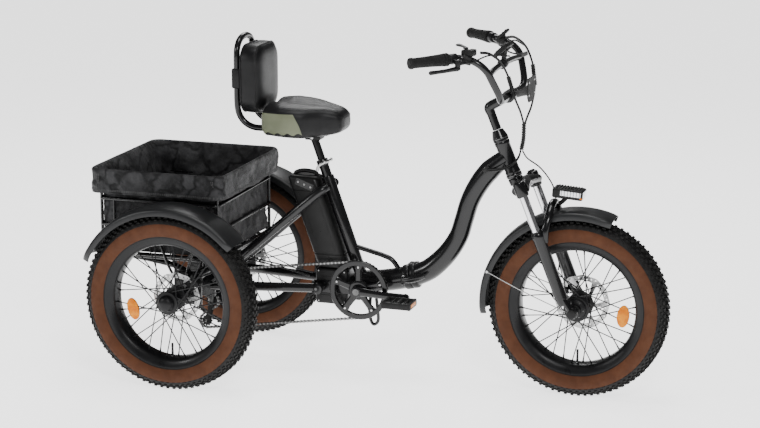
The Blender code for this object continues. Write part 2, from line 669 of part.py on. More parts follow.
def stem():
    """A quill stem: a short post on the steering axis, an arm and a bar clamp."""
    foot = rod(steer_point(-0.0960), steer_point(-0.152), 0.0140, 14)
    cap = rod(steer_point(-0.150), steer_point(-0.176), 0.0165, 14)
    arm = pipe([steer_point(-0.160), (0.3980, 0, 0.9420)], 0.0135, 10)
    clamp = rod((0.398, -0.0300, 0.942), (0.398, 0.0300, 0.942), 0.0195, 16)
    bore = rod((0.398, -0.05, 0.942), (0.398, 0.05, 0.942), BAR_R + 0.0008, 16)
    return cut(join(foot, cap, arm, clamp), bore)


def accessory_plate():
    """A flat mounting plate ahead of the stem, on a flared bracket."""
    plate = box((0.4620, -0.045, 0.9280), (0.4660, 0.045, 1.0030))
    flare = rod((0.4190, 0, 0.946), (0.4625, 0, 0.962), 0.0110, 12, 0.0200)
    return join(plate, flare)


def cable_loom():
    """The bundles from both ends of the bar, down to the sleeve in front of the head tube."""
    right = smooth_route([(0.3500, -0.178, 1.099), (0.370, -0.148, 1.092), (0.392, -0.105, 1.062),
                          (0.408, -0.066, 1.010), (0.421, -0.046, 0.950), (0.436, -0.020, 0.895),
                          (0.4430, 0.0, 0.850), (0.4420, 0.0, 0.810), (0.4360, 0.0, 0.776)], 2)
    left = smooth_route([(0.330, 0.190, 1.092), (0.378, 0.150, 1.100), (0.430, 0.100, 1.080),
                         (0.4640, 0.070, 1.030), (0.4760, 0.0560, 0.970), (0.4660, 0.0440, 0.910),
                         (0.4520, 0.015, 0.872), (0.4430, 0.0, 0.845)], 2)
    return join(pipe(right, 0.0055, 8), pipe(left, 0.0050, 8))


def frame_cable():
    """The cables from the sleeve round the head tube and into the port in the main tube."""
    route = [(0.4345, -0.0035, 0.7715), (0.4310, -0.0160, 0.7520), (0.4180, -0.0335, 0.7330),
             (0.3920, -0.0400, 0.7190), (0.3620, -0.0405, 0.7120), (0.3440, -0.0365, 0.7100),
             (0.3350, -0.0330, 0.7100)]
    return pipe(smooth_route(route, 2), 0.0040, 8)


def front_brake_hose():
    """The hose from the sleeve, down outside the left leg, to the front caliper."""
    route = [(0.4385, 0.0030, 0.7695), (0.4520, 0.0140, 0.7440), (0.4860, 0.0560, 0.7050),
             (0.5140, 0.0980, 0.6450), (0.5240, 0.1120, 0.5850), (0.5330, 0.1130, 0.5200),
             (0.5400, 0.1120, 0.4400), (0.5400, 0.1000, 0.3920), (0.5405, 0.0860, 0.3740)]
    return pipe(smooth_route(route, 2), 0.0025, 8)


# ---------------------------------------------------------------- drive train
def arc_points(centre, radius, sign, start, end, steps):
    while sign * (end - start) < 0:
        end += sign * 2 * math.pi
    angles = [start + (end - start) * k / steps for k in range(steps + 1)]
    return [(centre[0] + radius * math.cos(a), centre[1] + radius * math.sin(a)) for a in angles]


def belt_route(wheels):
    """A closed route round wheels given as (centre, radius, sign of travel, arc steps)."""
    tangents = []
    for i, (centre, radius, sign, _) in enumerate(wheels):
        other, other_radius, other_sign, _ = wheels[(i + 1) % len(wheels)]
        dx, dz = other[0] - centre[0], other[1] - centre[1]
        reach = (sign * radius - other_sign * other_radius) / math.hypot(dx, dz)
        tangents.append(math.atan2(dz, dx) - math.acos(reach))
    route = []
    for i, (centre, radius, sign, steps) in enumerate(wheels):
        turn = 0 if sign > 0 else math.pi
        route += arc_points(centre, radius, sign, tangents[i - 1] + turn, tangents[i] + turn, steps)
    return route


def chain():
    """The chain as a closed band, round the chainring, the sprocket and both jockey wheels."""
    out = CHAIN_HALF_T + 0.0009
    wheels = [((CRANK.x, CRANK.z), CHAINRING_R, 1, 14), ((REAR_AXLE_X, AXLE_Z), SPROCKET_R, 1, 7),
              (JOCKEY_UP, JOCKEY_R + out, -1, 6), (JOCKEY_LOW, JOCKEY_R + out, 1, 6)]
    return pipe([(x, CHAIN_Y, z) for x, z in belt_route(wheels)], CHAIN_HALF_T, 4, cyclic=True)


def chainring():
    """The toothed ring and its outer guard, on five arms."""
    y = CHAIN_Y
    inside = CHAINRING_R - CHAIN_HALF_T - 0.0006
    part = turned([(inside, 0.0015), (inside, -0.0015), (0.0790, -0.0015), (0.0790, -0.0052), (0.0965, -0.0052),
                   (0.0965, -0.0090), (0.0680, -0.0090), (0.0680, 0.0015)], (CRANK.x, y, CRANK.z), steps=26,
                  closed=True)
    hub = turned([(0.032, -0.002), (0.032, -0.012), (0.0205, -0.012), (0.0205, -0.002)],
                 (CRANK.x, y, CRANK.z), steps=16, closed=True)
    for i in range(5):
        a = math.radians(72 * i + 18)
        mx, mz = CRANK.x + 0.0500 * math.cos(a), CRANK.z + 0.0500 * math.sin(a)
        arm = box((mx - 0.0215, y - 0.0080, mz - 0.0070), (mx + 0.0215, y - 0.0030, mz + 0.0070), 0.0, -a)
        hub = join(hub, arm)
    return join(part, hub)


def crank_direction(side):
    turn = -CRANK_DROP if side < 0 else math.pi - CRANK_DROP
    return Vector((math.cos(turn), 0, math.sin(turn)))


def pedal_centre(side):
    return Vector((CRANK.x, 0, CRANK.z)) + crank_direction(side) * CRANK_LENGTH + Vector((0, side * 0.105, 0))


def crank_arm(side):
    out = crank_direction(side)
    root = Vector((CRANK.x, side * 0.083, CRANK.z))
    tip = root + out * CRANK_LENGTH + Vector((0, side * 0.011, 0))
    arm = pipe([root, root + out * 0.05 + Vector((0, side * 0.006, 0)), tip], 0.0125, 8, [1.0, 0.85, 0.80])
    boss = rod((CRANK.x, side * 0.0735, CRANK.z), (CRANK.x, side * 0.0960, CRANK.z), 0.0185, 14)
    eye = rod(tip - Vector((0, side * 0.0082, 0)), tip + Vector((0, side * 0.0085, 0)), 0.0135, 12)
    stub = rod(tip, tip + Vector((0, side * 0.070, 0)), 0.0042, 8)
    return join(boss, arm, eye, stub)


def crank_right():
    """The right arm, its spider boss and the spindle."""
    spider = rod((CRANK.x, -0.0560, CRANK.z), (CRANK.x, -0.0760, CRANK.z), 0.0200, 14)
    spindle = rod((CRANK.x, -0.070, CRANK.z), (CRANK.x, 0.0695, CRANK.z), 0.0085, 12)
    return join(crank_arm(-1), spider, spindle)


def bored_frame_shell(frame):
    return cut(frame, rod((CRANK.x, -0.07, CRANK.z), (CRANK.x, 0.07, CRANK.z), 0.0095, 14))


def pedal(side):
    """A flat platform pedal that turns on the stub of its crank."""
    centre = pedal_centre(side) + Vector((0, side * 0.052, 0))
    frame = box(centre - Vector((0.047, 0.0400, 0.0110)), centre + Vector((0.047, 0.0400, 0.0110)), 0.003)
    for sx in (-1, 1):
        gap = box(centre + Vector((sx * 0.024 - 0.014, -0.030, -0.02)), centre + Vector((sx * 0.024 + 0.014, 0.030,
                                                                                       0.02)))
        frame = cut(frame, gap)
    bore = rod(centre - Vector((0, 0.05, 0)), centre + Vector((0, 0.05, 0)), 0.0052, 10)
    return cut(frame, bore)


def cassette():
    """The stack of sprockets, free on the right half-axle."""
    steps = [(0.0283 - 0.0047, 0.020), (0.0283 - 0.0047, -0.0060), (0.034, -0.0062), (0.034, -0.0090),
             (0.040, -0.0092), (0.040, -0.0150), (0.0102, -0.0150), (0.0102, 0.020)]
    return turned(steps, (REAR_AXLE_X, CHAIN_Y, AXLE_Z), axis=(0, -1, 0), steps=18, closed=True)


def derailleur():
    """Body, cage plates and both jockey wheels of the rear derailleur, hung from the right inner plate."""
    up, low = Vector((JOCKEY_UP[0], 0, JOCKEY_UP[1])), Vector((JOCKEY_LOW[0], 0, JOCKEY_LOW[1]))
    part = None
    for y in (CHAIN_Y - 0.0085, CHAIN_Y + 0.0085):
        plate = rod(up + Vector((0, y - 0.001, 0)), up + Vector((0, y + 0.001, 0)), 0.013, 10)
        plate = join(plate, rod(low + Vector((0, y - 0.001, 0)), low + Vector((0, y + 0.001, 0)), 0.013, 10),
                     box((low.x - 0.003, y - 0.0008, low.z), (up.x - 0.003, y + 0.0008, up.z)))
        part = plate if part is None else join(part, plate)
    for centre in (up, low):
        wheel = rod(centre + Vector((0, CHAIN_Y - 0.002, 0)), centre + Vector((0, CHAIN_Y + 0.002, 0)), JOCKEY_R,
                    10)
        axle = rod(centre + Vector((0, CHAIN_Y - 0.0110, 0)), centre + Vector((0, CHAIN_Y + 0.0110, 0)), 0.005, 8)
        part = join(part, wheel, axle)
    arm = pipe([up + Vector((0, CHAIN_Y - 0.012, 0)), (-0.578, -0.090, 0.236), (-0.590, -0.106, 0.252)], 0.0075, 8)
    return join(part, arm, rod((-0.590, -0.100, 0.256), (-0.590, -0.1195, 0.256), 0.0100, 10))


# ---------------------------------------------------------------- battery, seat and basket
def leaning_block(low_z, high_z, front, rear, half_w, corner):
    """A block whose front and back lean with the seat tube."""
    rings = []
    for z in (low_z, high_z):
        axis_x = SEAT_TUBE_TOP.x + (SEAT_TUBE_TOP.z - z) * SEAT_TUBE_SLOPE
        x0, x1 = axis_x - rear, axis_x - front
        rings.append([(x0 + corner, -half_w, z), (x1 - corner, -half_w, z), (x1, -half_w + corner, z),
                      (x1, half_w - corner, z), (x1 - corner, half_w, z), (x0 + corner, half_w, z),
                      (x0, half_w - corner, z), (x0, -half_w + corner, z)])
    return loft(rings)


def battery():
    """The pack behind the seat tube, with a groove down each side."""
    pack = leaning_block(0.3520, 0.6480, 0.0240, 0.1280, 0.0400, 0.010)
    for side in (-1, 1):
        rings = []
        for z in (0.34, 0.60):
            axis_x = SEAT_TUBE_TOP.x + (SEAT_TUBE_TOP.z - z) * SEAT_TUBE_SLOPE
            y0, y1 = side * 0.0380, side * 0.045
            rings.append([(axis_x - 0.046, y0, z), (axis_x - 0.040, y0, z), (axis_x - 0.040, y1, z),
                          (axis_x - 0.046, y1, z)])
        pack = cut(pack, loft(rings))
    return pack


def controller_box():
    return box((-0.232, -0.0395, 0.2320), (-0.1225, 0.0395, 0.3510), 0.004)


def seat_post():
    """The post, its head under the saddle and the saddle clamp."""
    post = rod(seat_point(-0.165), seat_point(0.150), POST_R, 14)
    head = box((-0.272, -0.026, 0.7640), (-0.218, 0.026, 0.7860), 0.003)
    return join(post, head)


def seat_clamp_lever():
    """The quick-release lever on the clamp of the seat tube's sleeve."""
    hub = rod(seat_point(0.068, -0.0195 - 0.0050, -0.014), seat_point(0.068, -0.0195 - 0.0050, 0.014), 0.0045, 10)
    arm = pipe([seat_point(0.068, -0.0245, -0.012), seat_point(0.068, -0.014, -0.026),
                seat_point(0.062, 0.006, -0.0285), seat_point(0.050, 0.0160, -0.0280)], 0.0040, 8)
    return join(hub, arm)


def oval(x, half_w, low, high, count=16, square=0.45):
    ring = []
    for i in range(count):
        a = 2 * math.pi * (i + 0.5) / count
        c, s = math.cos(a), math.sin(a)
        y = half_w * math.copysign(abs(c) ** square, c)
        z = (low + high) / 2 + (high - low) / 2 * math.copysign(abs(s) ** square, s)
        ring.append((x, y, z))
    return ring


def saddle():
    """A wide cruiser saddle: a broad rear that narrows to the nose, hollowed for the post head and the loop."""
    stations = [(-0.386, 0.104, 0.800, 0.868), (-0.372, 0.124, 0.786, 0.886), (-0.330, 0.132, 0.782, 0.890),
                (-0.285, 0.131, 0.780, 0.886), (-0.250, 0.122, 0.780, 0.882), (-0.220, 0.099, 0.782, 0.879),
                (-0.192, 0.077, 0.786, 0.876), (-0.165, 0.065, 0.791, 0.870), (-0.145, 0.056, 0.797, 0.861),
                (-0.136, 0.044, 0.806, 0.851)]
    cover = loft([oval(*station) for station in stations])
    for low, high in (((-0.400, -0.088, 0.770), (-0.262, 0.088, 0.8145)),
                      ((-0.280, -0.032, 0.770), (-0.205, 0.032, 0.8000))):
        cover = cut(cover, box(low, high))
    return cover


def backrest_frame():
    """The tube loop that rises behind the saddle, its bed plate and the pad's crossbar."""
    half = [(-0.290, 0.062, 0.8030), (-0.385, 0.065, 0.8030), (-0.428, 0.066, 0.8050), (-0.458, 0.067, 0.8200),
            (-0.4760, 0.069, 0.8480), (-0.4810, 0.070, 0.8850), (-0.4810, 0.070, 1.0350), (-0.4810, 0.058, 1.0670),
            (-0.4810, 0.030, 1.0830)]
    route = [(x, -y, z) for x, y, z in half] + [(x, y, z) for x, y, z in reversed(half)]
    loop = pipe(route, 0.0100, 8)
    plate = box((-0.350, -0.070, 0.7880), (-0.2740, 0.070, 0.7960))
    bar = box((-0.4840, -0.080, 0.9300), (-0.4665, 0.080, 0.9900), 0.003)
    return join(loop, plate, bar)


def backrest_pad():
    def ring(x, inset):
        half_w, low, high, corner = 0.096 - inset, 0.849 + inset, 1.068 - inset, 0.050
        points = []
        for cy, cz, start in ((half_w - corner, high - corner, 0), (-half_w + corner, high - corner, 90),
                              (-half_w + corner, low + corner, 180), (half_w - corner, low + corner, 270)):
            for k in range(3):
                a = math.radians(start + 45 * k)
                points.append((x, cy + corner * math.cos(a), cz + corner * math.sin(a)))
        return points
    return loft([ring(-0.4660, 0.010), ring(-0.456, 0.0), ring(-0.408, 0.0), ring(-0.393, 0.014)])


def basket_rectangle(inset, z):
    x0, x1, y = BASKET_REAR + inset, BASKET_FRONT - inset, BASKET_HALF_W - inset
    return [(x0, -y, z), (x1, -y, z), (x1, y, z), (x0, y, z)]


def basket_frame():
    """A frame of round bar: four rings, corner posts and floor bars."""
    inset = CUFF_INSET - 0.0075
    ring_r = 0.0055
    low_z = BASKET_FLOOR - ring_r - 0.0005
    rings = [pipe(basket_rectangle(inset, z), ring_r, 6, cyclic=True)
             for z in (low_z, 0.4900, 0.5750, BASKET_TOP - 0.014)]
    posts = [pipe([(x, y, low_z), (x, y, BASKET_TOP - 0.014)], ring_r, 6)
             for x, y, _ in basket_rectangle(inset, 0)]
    floor = [pipe([(BASKET_REAR + inset, y, low_z), (BASKET_FRONT - inset, y, low_z)], 0.0045, 6)
             for y in (-0.075, 0.0, 0.075)]
    return join(rings[0], *posts, *rings[1:], *floor)


def basket_bag():
    """The fabric liner: a walled box whose top folds over the frame as a hanging cuff."""
    rear, front, half = BASKET_REAR, BASKET_FRONT, BASKET_HALF_W
    cuff_low = BASKET_TOP - CUFF_DEPTH
    body_in = CUFF_INSET
    cuff = box((rear, -half, cuff_low), (front, half, BASKET_TOP))
    hollow = box((rear + CLOTH, -half + CLOTH, cuff_low - 0.01), (front - CLOTH, half - CLOTH, BASKET_TOP - CLOTH))
    body = box((rear + body_in, -half + body_in, BASKET_FLOOR), (front - body_in, half - body_in,
                                                                 BASKET_TOP - 0.001))
    bag = join(cut(cuff, hollow), body)
    inner = body_in + CLOTH
    room = box((rear + inner, -half + inner, BASKET_FLOOR + CLOTH), (front - inner, half - inner, BASKET_TOP + 0.05))
    return cut(bag, room)


def headlight():
    """A long lamp on a bracket that stands on the fork arch."""
    lamp = box((0.5400, -0.030, 0.6300), (0.6400, 0.030, 0.6640), 0.005, math.radians(4))
    bracket = pipe([(0.5590, 0, 0.6105), (0.5690, 0, 0.6180), (0.5860, 0, 0.6380)], 0.0070, 8)
    return join(lamp, bracket)


# ---------------------------------------------------------------- assembly
def build():
    global PARTS
    clear_scene()
    PARTS = new_collection("adult_tricycle")
    origin = (0, 0, 0)
    places = {
        "rear_frame": origin, "front_frame": (HINGE_X, HINGE_Y, HINGE_Z), "hinge_latch": (0.0700, -0.0560, 0.338),
        "steering": STEER_TOP, "fork_lowers": STEER_TOP, "front_wheel": (FRONT_AXLE_X, 0, AXLE_Z),
        "rear_wheel_right": (REAR_AXLE_X, -HALF_TRACK, AXLE_Z),
        "rear_wheel_left": (REAR_AXLE_X, HALF_TRACK, AXLE_Z),
        "crankset": CRANK, "pedal_right": pedal_centre(-1), "pedal_left": pedal_centre(1),
        "cassette": (REAR_AXLE_X, CHAIN_Y, AXLE_Z), "battery": SEAT_TUBE_TOP, "seat": SEAT_TUBE_TOP,
        "seat_clamp_lever": seat_point(0.068, -0.0245), "brake_lever_right": brake_pivot(-1)[0],
        "brake_lever_left": brake_pivot(1)[0], "shift_lever": SHIFT_PIVOT,
    }
    pivots = {name: new_pivot("pivot_" + name, place) for name, place in places.items()}
    bpy.context.view_layer.update()
    build_wheels(pivots)
    rear = pivots["rear_frame"]
    name_part(bored_frame_shell(main_frame_rear()), "main_frame_rear", "gloss_black", rear)
    name_part(rear_subframe(), "rear_subframe", "gloss_black", rear)
    name_part(controller_box(), "controller_box", "moulded_black", rear)
    name_part(derailleur(), "derailleur", "moulded_black", rear)
    name_part(chain(), "chain", "steel", rear)
    name_part(basket_frame(), "basket_frame", "gloss_black", rear)
    name_part(basket_bag(), "basket_bag", "cloth", rear)
    for label, side in (("right", -1), ("left", 1)):
        centre = (REAR_AXLE_X, side * HALF_TRACK, AXLE_Z)
        name_part(fender(centre, 41, 156, 0.0625, 0.3120), "rear_fender_" + label, "satin_grey", rear)
        brake = caliper(centre, side * (HALF_TRACK - 0.0440), side * 0.2404, 40, 0.074)
        name_part(brake, "rear_caliper_" + label, "moulded_black", rear)
    front = pivots["front_frame"]
    name_part(main_frame_front(), "main_frame_front", "gloss_black", front)
    name_part(hinge_latch(), "hinge_latch", "gloss_black", pivots["hinge_latch"])
    steering = pivots["steering"]
    name_part(fork_crown(), "fork_crown", "gloss_black", steering)
    name_part(stem(), "stem", "gloss_black", steering)
    name_part(handlebar(), "handlebar", "gloss_black", steering)
    name_part(shifter(), "shifter", "moulded_black", steering)
    name_part(display(), "display", "moulded_black", steering)
    name_part(control_pad(), "control_pad", "moulded_black", steering)
    name_part(accessory_plate(), "accessory_plate", "satin_grey", steering)
    name_part(cable_loom(), "cable_loom", "rubber", steering)
    name_part(frame_cable(), "frame_cable", "rubber", steering)
    for label, side in (("right", -1), ("left", 1)):
        name_part(stanchion(side), "stanchion_" + label, "chrome", steering)
        name_part(grip(side), "grip_" + label, "rubber", steering)
        name_part(perch(side), "brake_perch_" + label, "moulded_black", steering)
        name_part(brake_lever(side), "brake_lever_" + label, "moulded_black", pivots["brake_lever_" + label])
        name_part(pedal(side), "pedal_" + label, "moulded_black", pivots["pedal_" + label])
    name_part(shift_lever(), "shift_lever", "moulded_black", pivots["shift_lever"])
    lowers = pivots["fork_lowers"]
    name_part(fork_lowers(), "fork_lowers", "gloss_black", lowers)
    front_centre = (FRONT_AXLE_X, 0, AXLE_Z)
    name_part(fender(front_centre, 69, 187, 0.0560, 0.3140), "front_fender", "satin_grey", lowers)
    name_part(front_caliper(), "front_caliper", "moulded_black", lowers)
    name_part(headlight(), "headlight", "moulded_black", lowers)
    name_part(front_brake_hose(), "front_brake_hose", "rubber", lowers)
    crank = pivots["crankset"]
    name_part(crank_right(), "crank_right", "gloss_black", crank)
    name_part(crank_arm(1), "crank_left", "gloss_black", crank)
    name_part(chainring(), "chainring", "gloss_black", crank)
    name_part(cassette(), "cassette", "steel", pivots["cassette"])
    name_part(battery(), "battery", "moulded_black", pivots["battery"])
    seat = pivots["seat"]
    name_part(seat_post(), "seat_post", "gloss_black", seat)
    name_part(saddle(), "saddle", "leather", seat)
    name_part(backrest_frame(), "backrest_frame", "gloss_black", seat)
    name_part(backrest_pad(), "backrest_pad", "leather", seat)
    name_part(seat_clamp_lever(), "seat_clamp_lever", "steel", pivots["seat_clamp_lever"])


build()
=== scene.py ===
"""The looks of the folding adult tricycle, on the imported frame.  Metres, +X forward, +Y to the rider's left."""
import json
import math

import bpy
import bmesh
from mathutils import Euler, Matrix, Vector, noise


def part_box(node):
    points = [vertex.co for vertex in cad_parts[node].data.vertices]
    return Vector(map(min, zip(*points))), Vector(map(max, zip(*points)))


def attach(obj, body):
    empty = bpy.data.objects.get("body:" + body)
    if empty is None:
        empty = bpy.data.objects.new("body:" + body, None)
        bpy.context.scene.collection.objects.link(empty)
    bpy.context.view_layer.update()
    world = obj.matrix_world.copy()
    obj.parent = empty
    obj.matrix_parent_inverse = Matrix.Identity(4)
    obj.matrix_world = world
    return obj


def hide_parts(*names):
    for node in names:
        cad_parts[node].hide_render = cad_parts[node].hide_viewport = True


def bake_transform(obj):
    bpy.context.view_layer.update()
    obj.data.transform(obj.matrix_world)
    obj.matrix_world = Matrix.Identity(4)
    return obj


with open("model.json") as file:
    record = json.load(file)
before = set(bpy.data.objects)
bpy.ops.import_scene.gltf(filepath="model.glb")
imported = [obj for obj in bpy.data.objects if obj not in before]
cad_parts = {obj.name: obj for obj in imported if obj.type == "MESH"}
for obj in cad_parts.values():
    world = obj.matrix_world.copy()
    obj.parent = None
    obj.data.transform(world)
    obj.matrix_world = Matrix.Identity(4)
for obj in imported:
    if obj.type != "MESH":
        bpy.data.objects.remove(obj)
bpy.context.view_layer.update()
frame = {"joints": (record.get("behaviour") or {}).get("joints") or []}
JOINTS = {joint["name"]: joint for joint in frame["joints"]}
SIDES = (("right", -1), ("left", 1))

# ---------------------------------------------------------------- driving values, from the frame
FRONT_AXLE = Vector(JOINTS["front_wheel_spin"]["pos_m"])
REAR_AXLES = {side: Vector(JOINTS["rear_wheel_" + label + "_spin"]["pos_m"]) for label, side in SIDES}
CRANK = Vector(JOINTS["crank_spin"]["pos_m"])
STEER_TOP = Vector(JOINTS["steer"]["pos_m"])
STEER_UP = Vector(JOINTS["steer"]["axis"]).normalized()
STEER_FORWARD = Vector((STEER_UP.z, 0, -STEER_UP.x))
SEAT_UP = -Vector(JOINTS["seat_height"]["axis"]).normalized()
SEAT_BACK = Vector((-SEAT_UP.z, 0, SEAT_UP.x))
SEAT_TOP = Vector((-0.195, 0, 0.626))
SEAT_SLOPE = 0.36
CHAIN_Y = JOINTS["cassette_spin"]["pos_m"][1]
AXLE_Z = FRONT_AXLE.z
HALF_TRACK = 0.334
TYRE_R = AXLE_Z
BEAD_R = 0.2145
LEG_Y = 0.084
LEG_OFFSET = 0.03
FOLD_PIN = Vector(JOINTS["frame_fold"]["pos_m"])
HINGE_SEAM = Vector((0.0845, 0, 0.3385))
HINGE_ALONG = Vector((0.971, 0, 0.239))
SEAT_LEVER = (0.068, -0.0245)  # the clamp lever's pin: how far up the seat tube and behind it
STEM_HEAD = Vector((0.398, 0, 0.942))
Y_AXIS = Vector((0, 1, 0))
Z_AXIS = Vector((0, 0, 1))


def steer_point(down, forward=0.0, y=0.0):
    """A point given down the steering axis, ahead of it and to the side."""
    return STEER_TOP - STEER_UP * down + STEER_FORWARD * forward + Vector((0, y, 0))


def seat_point(up, back=0.0, y=0.0):
    """A point given up the seat tube, behind it and to the side."""
    return SEAT_TOP + SEAT_UP * up + SEAT_BACK * back + Vector((0, y, 0))


def leg_point(down, side):
    """A point down the axis of one fork leg."""
    return steer_point(down, LEG_OFFSET, side * LEG_Y)


def middle_of(node):
    low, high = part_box(node)
    return (low + high) / 2


def around(count):
    """Evenly spaced angles over a full turn."""
    return [2 * math.pi * k / count for k in range(count)]


def radial(angle):
    """The direction at an angle, from +X towards +Z."""
    return Vector((math.cos(angle), 0, math.sin(angle)))


def mirrored(half):
    """A profile of (radius, side) points, carried on across its middle."""
    return half + [(r, -y) for r, y in reversed(half[:-1])]


def rounded(x0, x1, y0, y1, corner, steps, first=0):
    """The (x, y) outline of a rectangle with rounded corners; first is the quarter that it starts with."""
    centres = ((x1 - corner, y1 - corner), (x0 + corner, y1 - corner), (x0 + corner, y0 + corner),
               (x1 - corner, y0 + corner))
    points = []
    for quarter in [(first + k) % 4 for k in range(4)]:
        cx, cy = centres[quarter]
        for k in range(steps + 1):
            a = math.radians(90 * quarter + 90 * k / steps)
            points.append((cx + corner * math.cos(a), cy + corner * math.sin(a)))
    return points


def show(name, data, location=(0, 0, 0)):
    """A new object in the scene."""
    obj = bpy.data.objects.new(name, data)
    obj.location = location
    bpy.context.scene.collection.objects.link(obj)
    return obj


# ---------------------------------------------------------------- materials
class Look:
    """A Principled material whose colour, roughness and bump are built up step by step."""

    def __init__(self, name, colour, roughness, metallic=0.0, coat=0.0, coat_roughness=0.05, sheen=0.0,
                 specular=0.5):
        self.material = bpy.data.materials.new(name)
        self.material.use_nodes = True
        self.tree = self.material.node_tree
        self.shader = self.tree.nodes["Principled BSDF"]
        for key, value in (("Base Color", (*colour, 1)), ("Roughness", roughness), ("Metallic", metallic),
                           ("Coat Weight", coat), ("Coat Roughness", coat_roughness), ("Sheen Weight", sheen),
                           ("Specular IOR Level", specular)):
            self.shader.inputs[key].default_value = value
        self.place = self.add("ShaderNodeTexCoord").outputs["Object"]
        self.normal = None

    def add(self, kind, **settings):
        node = self.tree.nodes.new(kind)
        for key, value in settings.items():
            setattr(node, key, value)
        return node

    def link(self, source, target):
        self.tree.links.new(source, target)

    def stretched(self, scale):
        mapping = self.add("ShaderNodeMapping")
        mapping.inputs["Scale"].default_value = scale
        self.link(self.place, mapping.inputs["Vector"])
        return mapping.outputs["Vector"]

    def cloud(self, scale, detail=3.0, stretch=None):
        texture = self.add("ShaderNodeTexNoise")
        texture.inputs["Scale"].default_value = scale
        texture.inputs["Detail"].default_value = detail
        self.link(self.stretched(stretch) if stretch else self.place, texture.inputs["Vector"])
        return texture.outputs["Fac"]

    def cells(self, scale, feature="F1"):
        texture = self.add("ShaderNodeTexVoronoi", feature=feature)
        texture.inputs["Scale"].default_value = scale
        self.link(self.place, texture.inputs["Vector"])
        return texture.outputs["Distance"]

    def stripes(self, axis, scale, distortion=0.0):
        texture = self.add("ShaderNodeTexWave", bands_direction=axis)
        texture.inputs["Scale"].default_value = scale
        texture.inputs["Distortion"].default_value = distortion
        self.link(self.place, texture.inputs["Vector"])
        return texture.outputs["Fac"]

    def combine(self, a, b, operation):
        node = self.add("ShaderNodeMath", operation=operation)
        for i, value in enumerate((a, b)):
            if isinstance(value, (int, float)):
                node.inputs[i].default_value = value
            else:
                self.link(value, node.inputs[i])
        return node.outputs[0]

    def ramp(self, value, low, high, start=0.0, end=1.0):
        node = self.add("ShaderNodeMapRange")
        self.link(value, node.inputs["Value"])
        for key, number in (("From Min", start), ("From Max", end), ("To Min", low), ("To Max", high)):
            node.inputs[key].default_value = number
        return node.outputs["Result"]

    def bump(self, height, distance, strength=1.0):
        node = self.add("ShaderNodeBump")
        node.inputs["Distance"].default_value = distance
        node.inputs["Strength"].default_value = strength
        self.link(height, node.inputs["Height"])
        if self.normal:
            self.link(self.normal, node.inputs["Normal"])
        self.normal = node.outputs["Normal"]
        self.link(self.normal, self.shader.inputs["Normal"])
        return self

    def rough(self, value, low, high):
        self.link(self.ramp(value, low, high, 0.3, 0.7), self.shader.inputs["Roughness"])
        return self

    def tint(self, value, first, second, start=0.35, end=0.65):
        mix = self.add("ShaderNodeMix", data_type="RGBA")
        mix.inputs["A"].default_value = (*first, 1)
        mix.inputs["B"].default_value = (*second, 1)
        self.link(self.ramp(value, 0.0, 1.0, start, end), mix.inputs["Factor"])
        self.link(mix.outputs["Result"], self.shader.inputs["Base Color"])
        return mix

    def choose(self, mask, first, second):
        """Lets a mask choose between two tints."""
        mix = self.add("ShaderNodeMix", data_type="RGBA")
        self.link(mask, mix.inputs["Factor"])
        self.link(first.outputs["Result"], mix.inputs["A"])
        self.link(second.outputs["Result"], mix.inputs["B"])
        self.link(mix.outputs["Result"], self.shader.inputs["Base Color"])

    def glow(self, strength):
        self.shader.inputs["Emission Color"].default_value = (1, 1, 1, 1)
        self.shader.inputs["Emission Strength"].default_value = strength

    def radius(self):
        """The distance from the object's own Y axis."""
        split = self.add("ShaderNodeSeparateXYZ")
        self.link(self.place, split.inputs["Vector"])
        squares = [self.combine(split.outputs[k], split.outputs[k], "MULTIPLY") for k in ("X", "Z")]
        return self.combine(self.combine(squares[0], squares[1], "ADD"), 0.5, "POWER")


CLOUD, CELLS = Look.cloud, Look.cells


def plain(name, colour, roughness, rough=None, tint=None, bumps=(), **more):
    """A look from one cloud for its roughness, one for its tint and a texture for each of its bumps."""
    look = Look(name, colour, roughness, **more)
    if rough:
        look.rough(look.cloud(rough[0]), *rough[1:])
    if tint:
        look.tint(look.cloud(tint[0]), *tint[1:])
    for texture, scale, distance, strength in bumps:
        look.bump(texture(look, scale), distance, strength)
    return look


def satin_black(name="satin_black", roughness=0.36):
    return plain(name, (0.006, 0.006, 0.0065), roughness, (23, roughness - 0.06, roughness + 0.1),
                 bumps=[(CLOUD, 900, 0.0001, 0.5)], specular=0.22)


def tyre_rubber():
    """Black rubber with a brown band on the sidewall and fine moulding rings."""
    look = Look("tyre_rubber", (0.014, 0.014, 0.014), 0.72, specular=0.18)
    radius = look.combine(look.radius(), look.ramp(look.cloud(60), -0.0004, 0.0004), "ADD")
    inside = look.ramp(radius, 0.0, 1.0, BEAD_R + 0.0005, BEAD_R + 0.002)
    outside = look.ramp(radius, 1.0, 0.0, 0.256, 0.2575)
    band = look.combine(inside, outside, "MULTIPLY")
    black = look.tint(look.cloud(35), (0.006, 0.006, 0.006), (0.014, 0.0135, 0.013))
    brown = look.tint(look.cloud(28), (0.058, 0.019, 0.007), (0.076, 0.026, 0.01))
    look.choose(band, black, brown)
    rings = look.combine(look.combine(radius, 1500.0, "MULTIPLY"), 0.0, "SINE")
    edge = look.combine(band, look.ramp(rings, 0.0, 0.12, -1.0, 1.0), "ADD")
    look.bump(edge, 0.0005, 0.8)
    look.rough(look.cloud(90), 0.58, 0.74)
    return look.bump(look.cloud(700), 0.0003, 0.5)


def brushed_steel(name="brushed_steel", tone=0.5, roughness=0.3):
    look = Look(name, (tone, tone, tone * 1.01), roughness, 1.0)
    streaks = look.cloud(60, stretch=(1, 1, 22))
    look.rough(streaks, roughness - 0.06, roughness + 0.12)
    look.tint(look.cloud(18), (tone * 0.86,) * 3, (tone * 1.08,) * 3)
    return look.bump(streaks, 0.00005, 0.5)


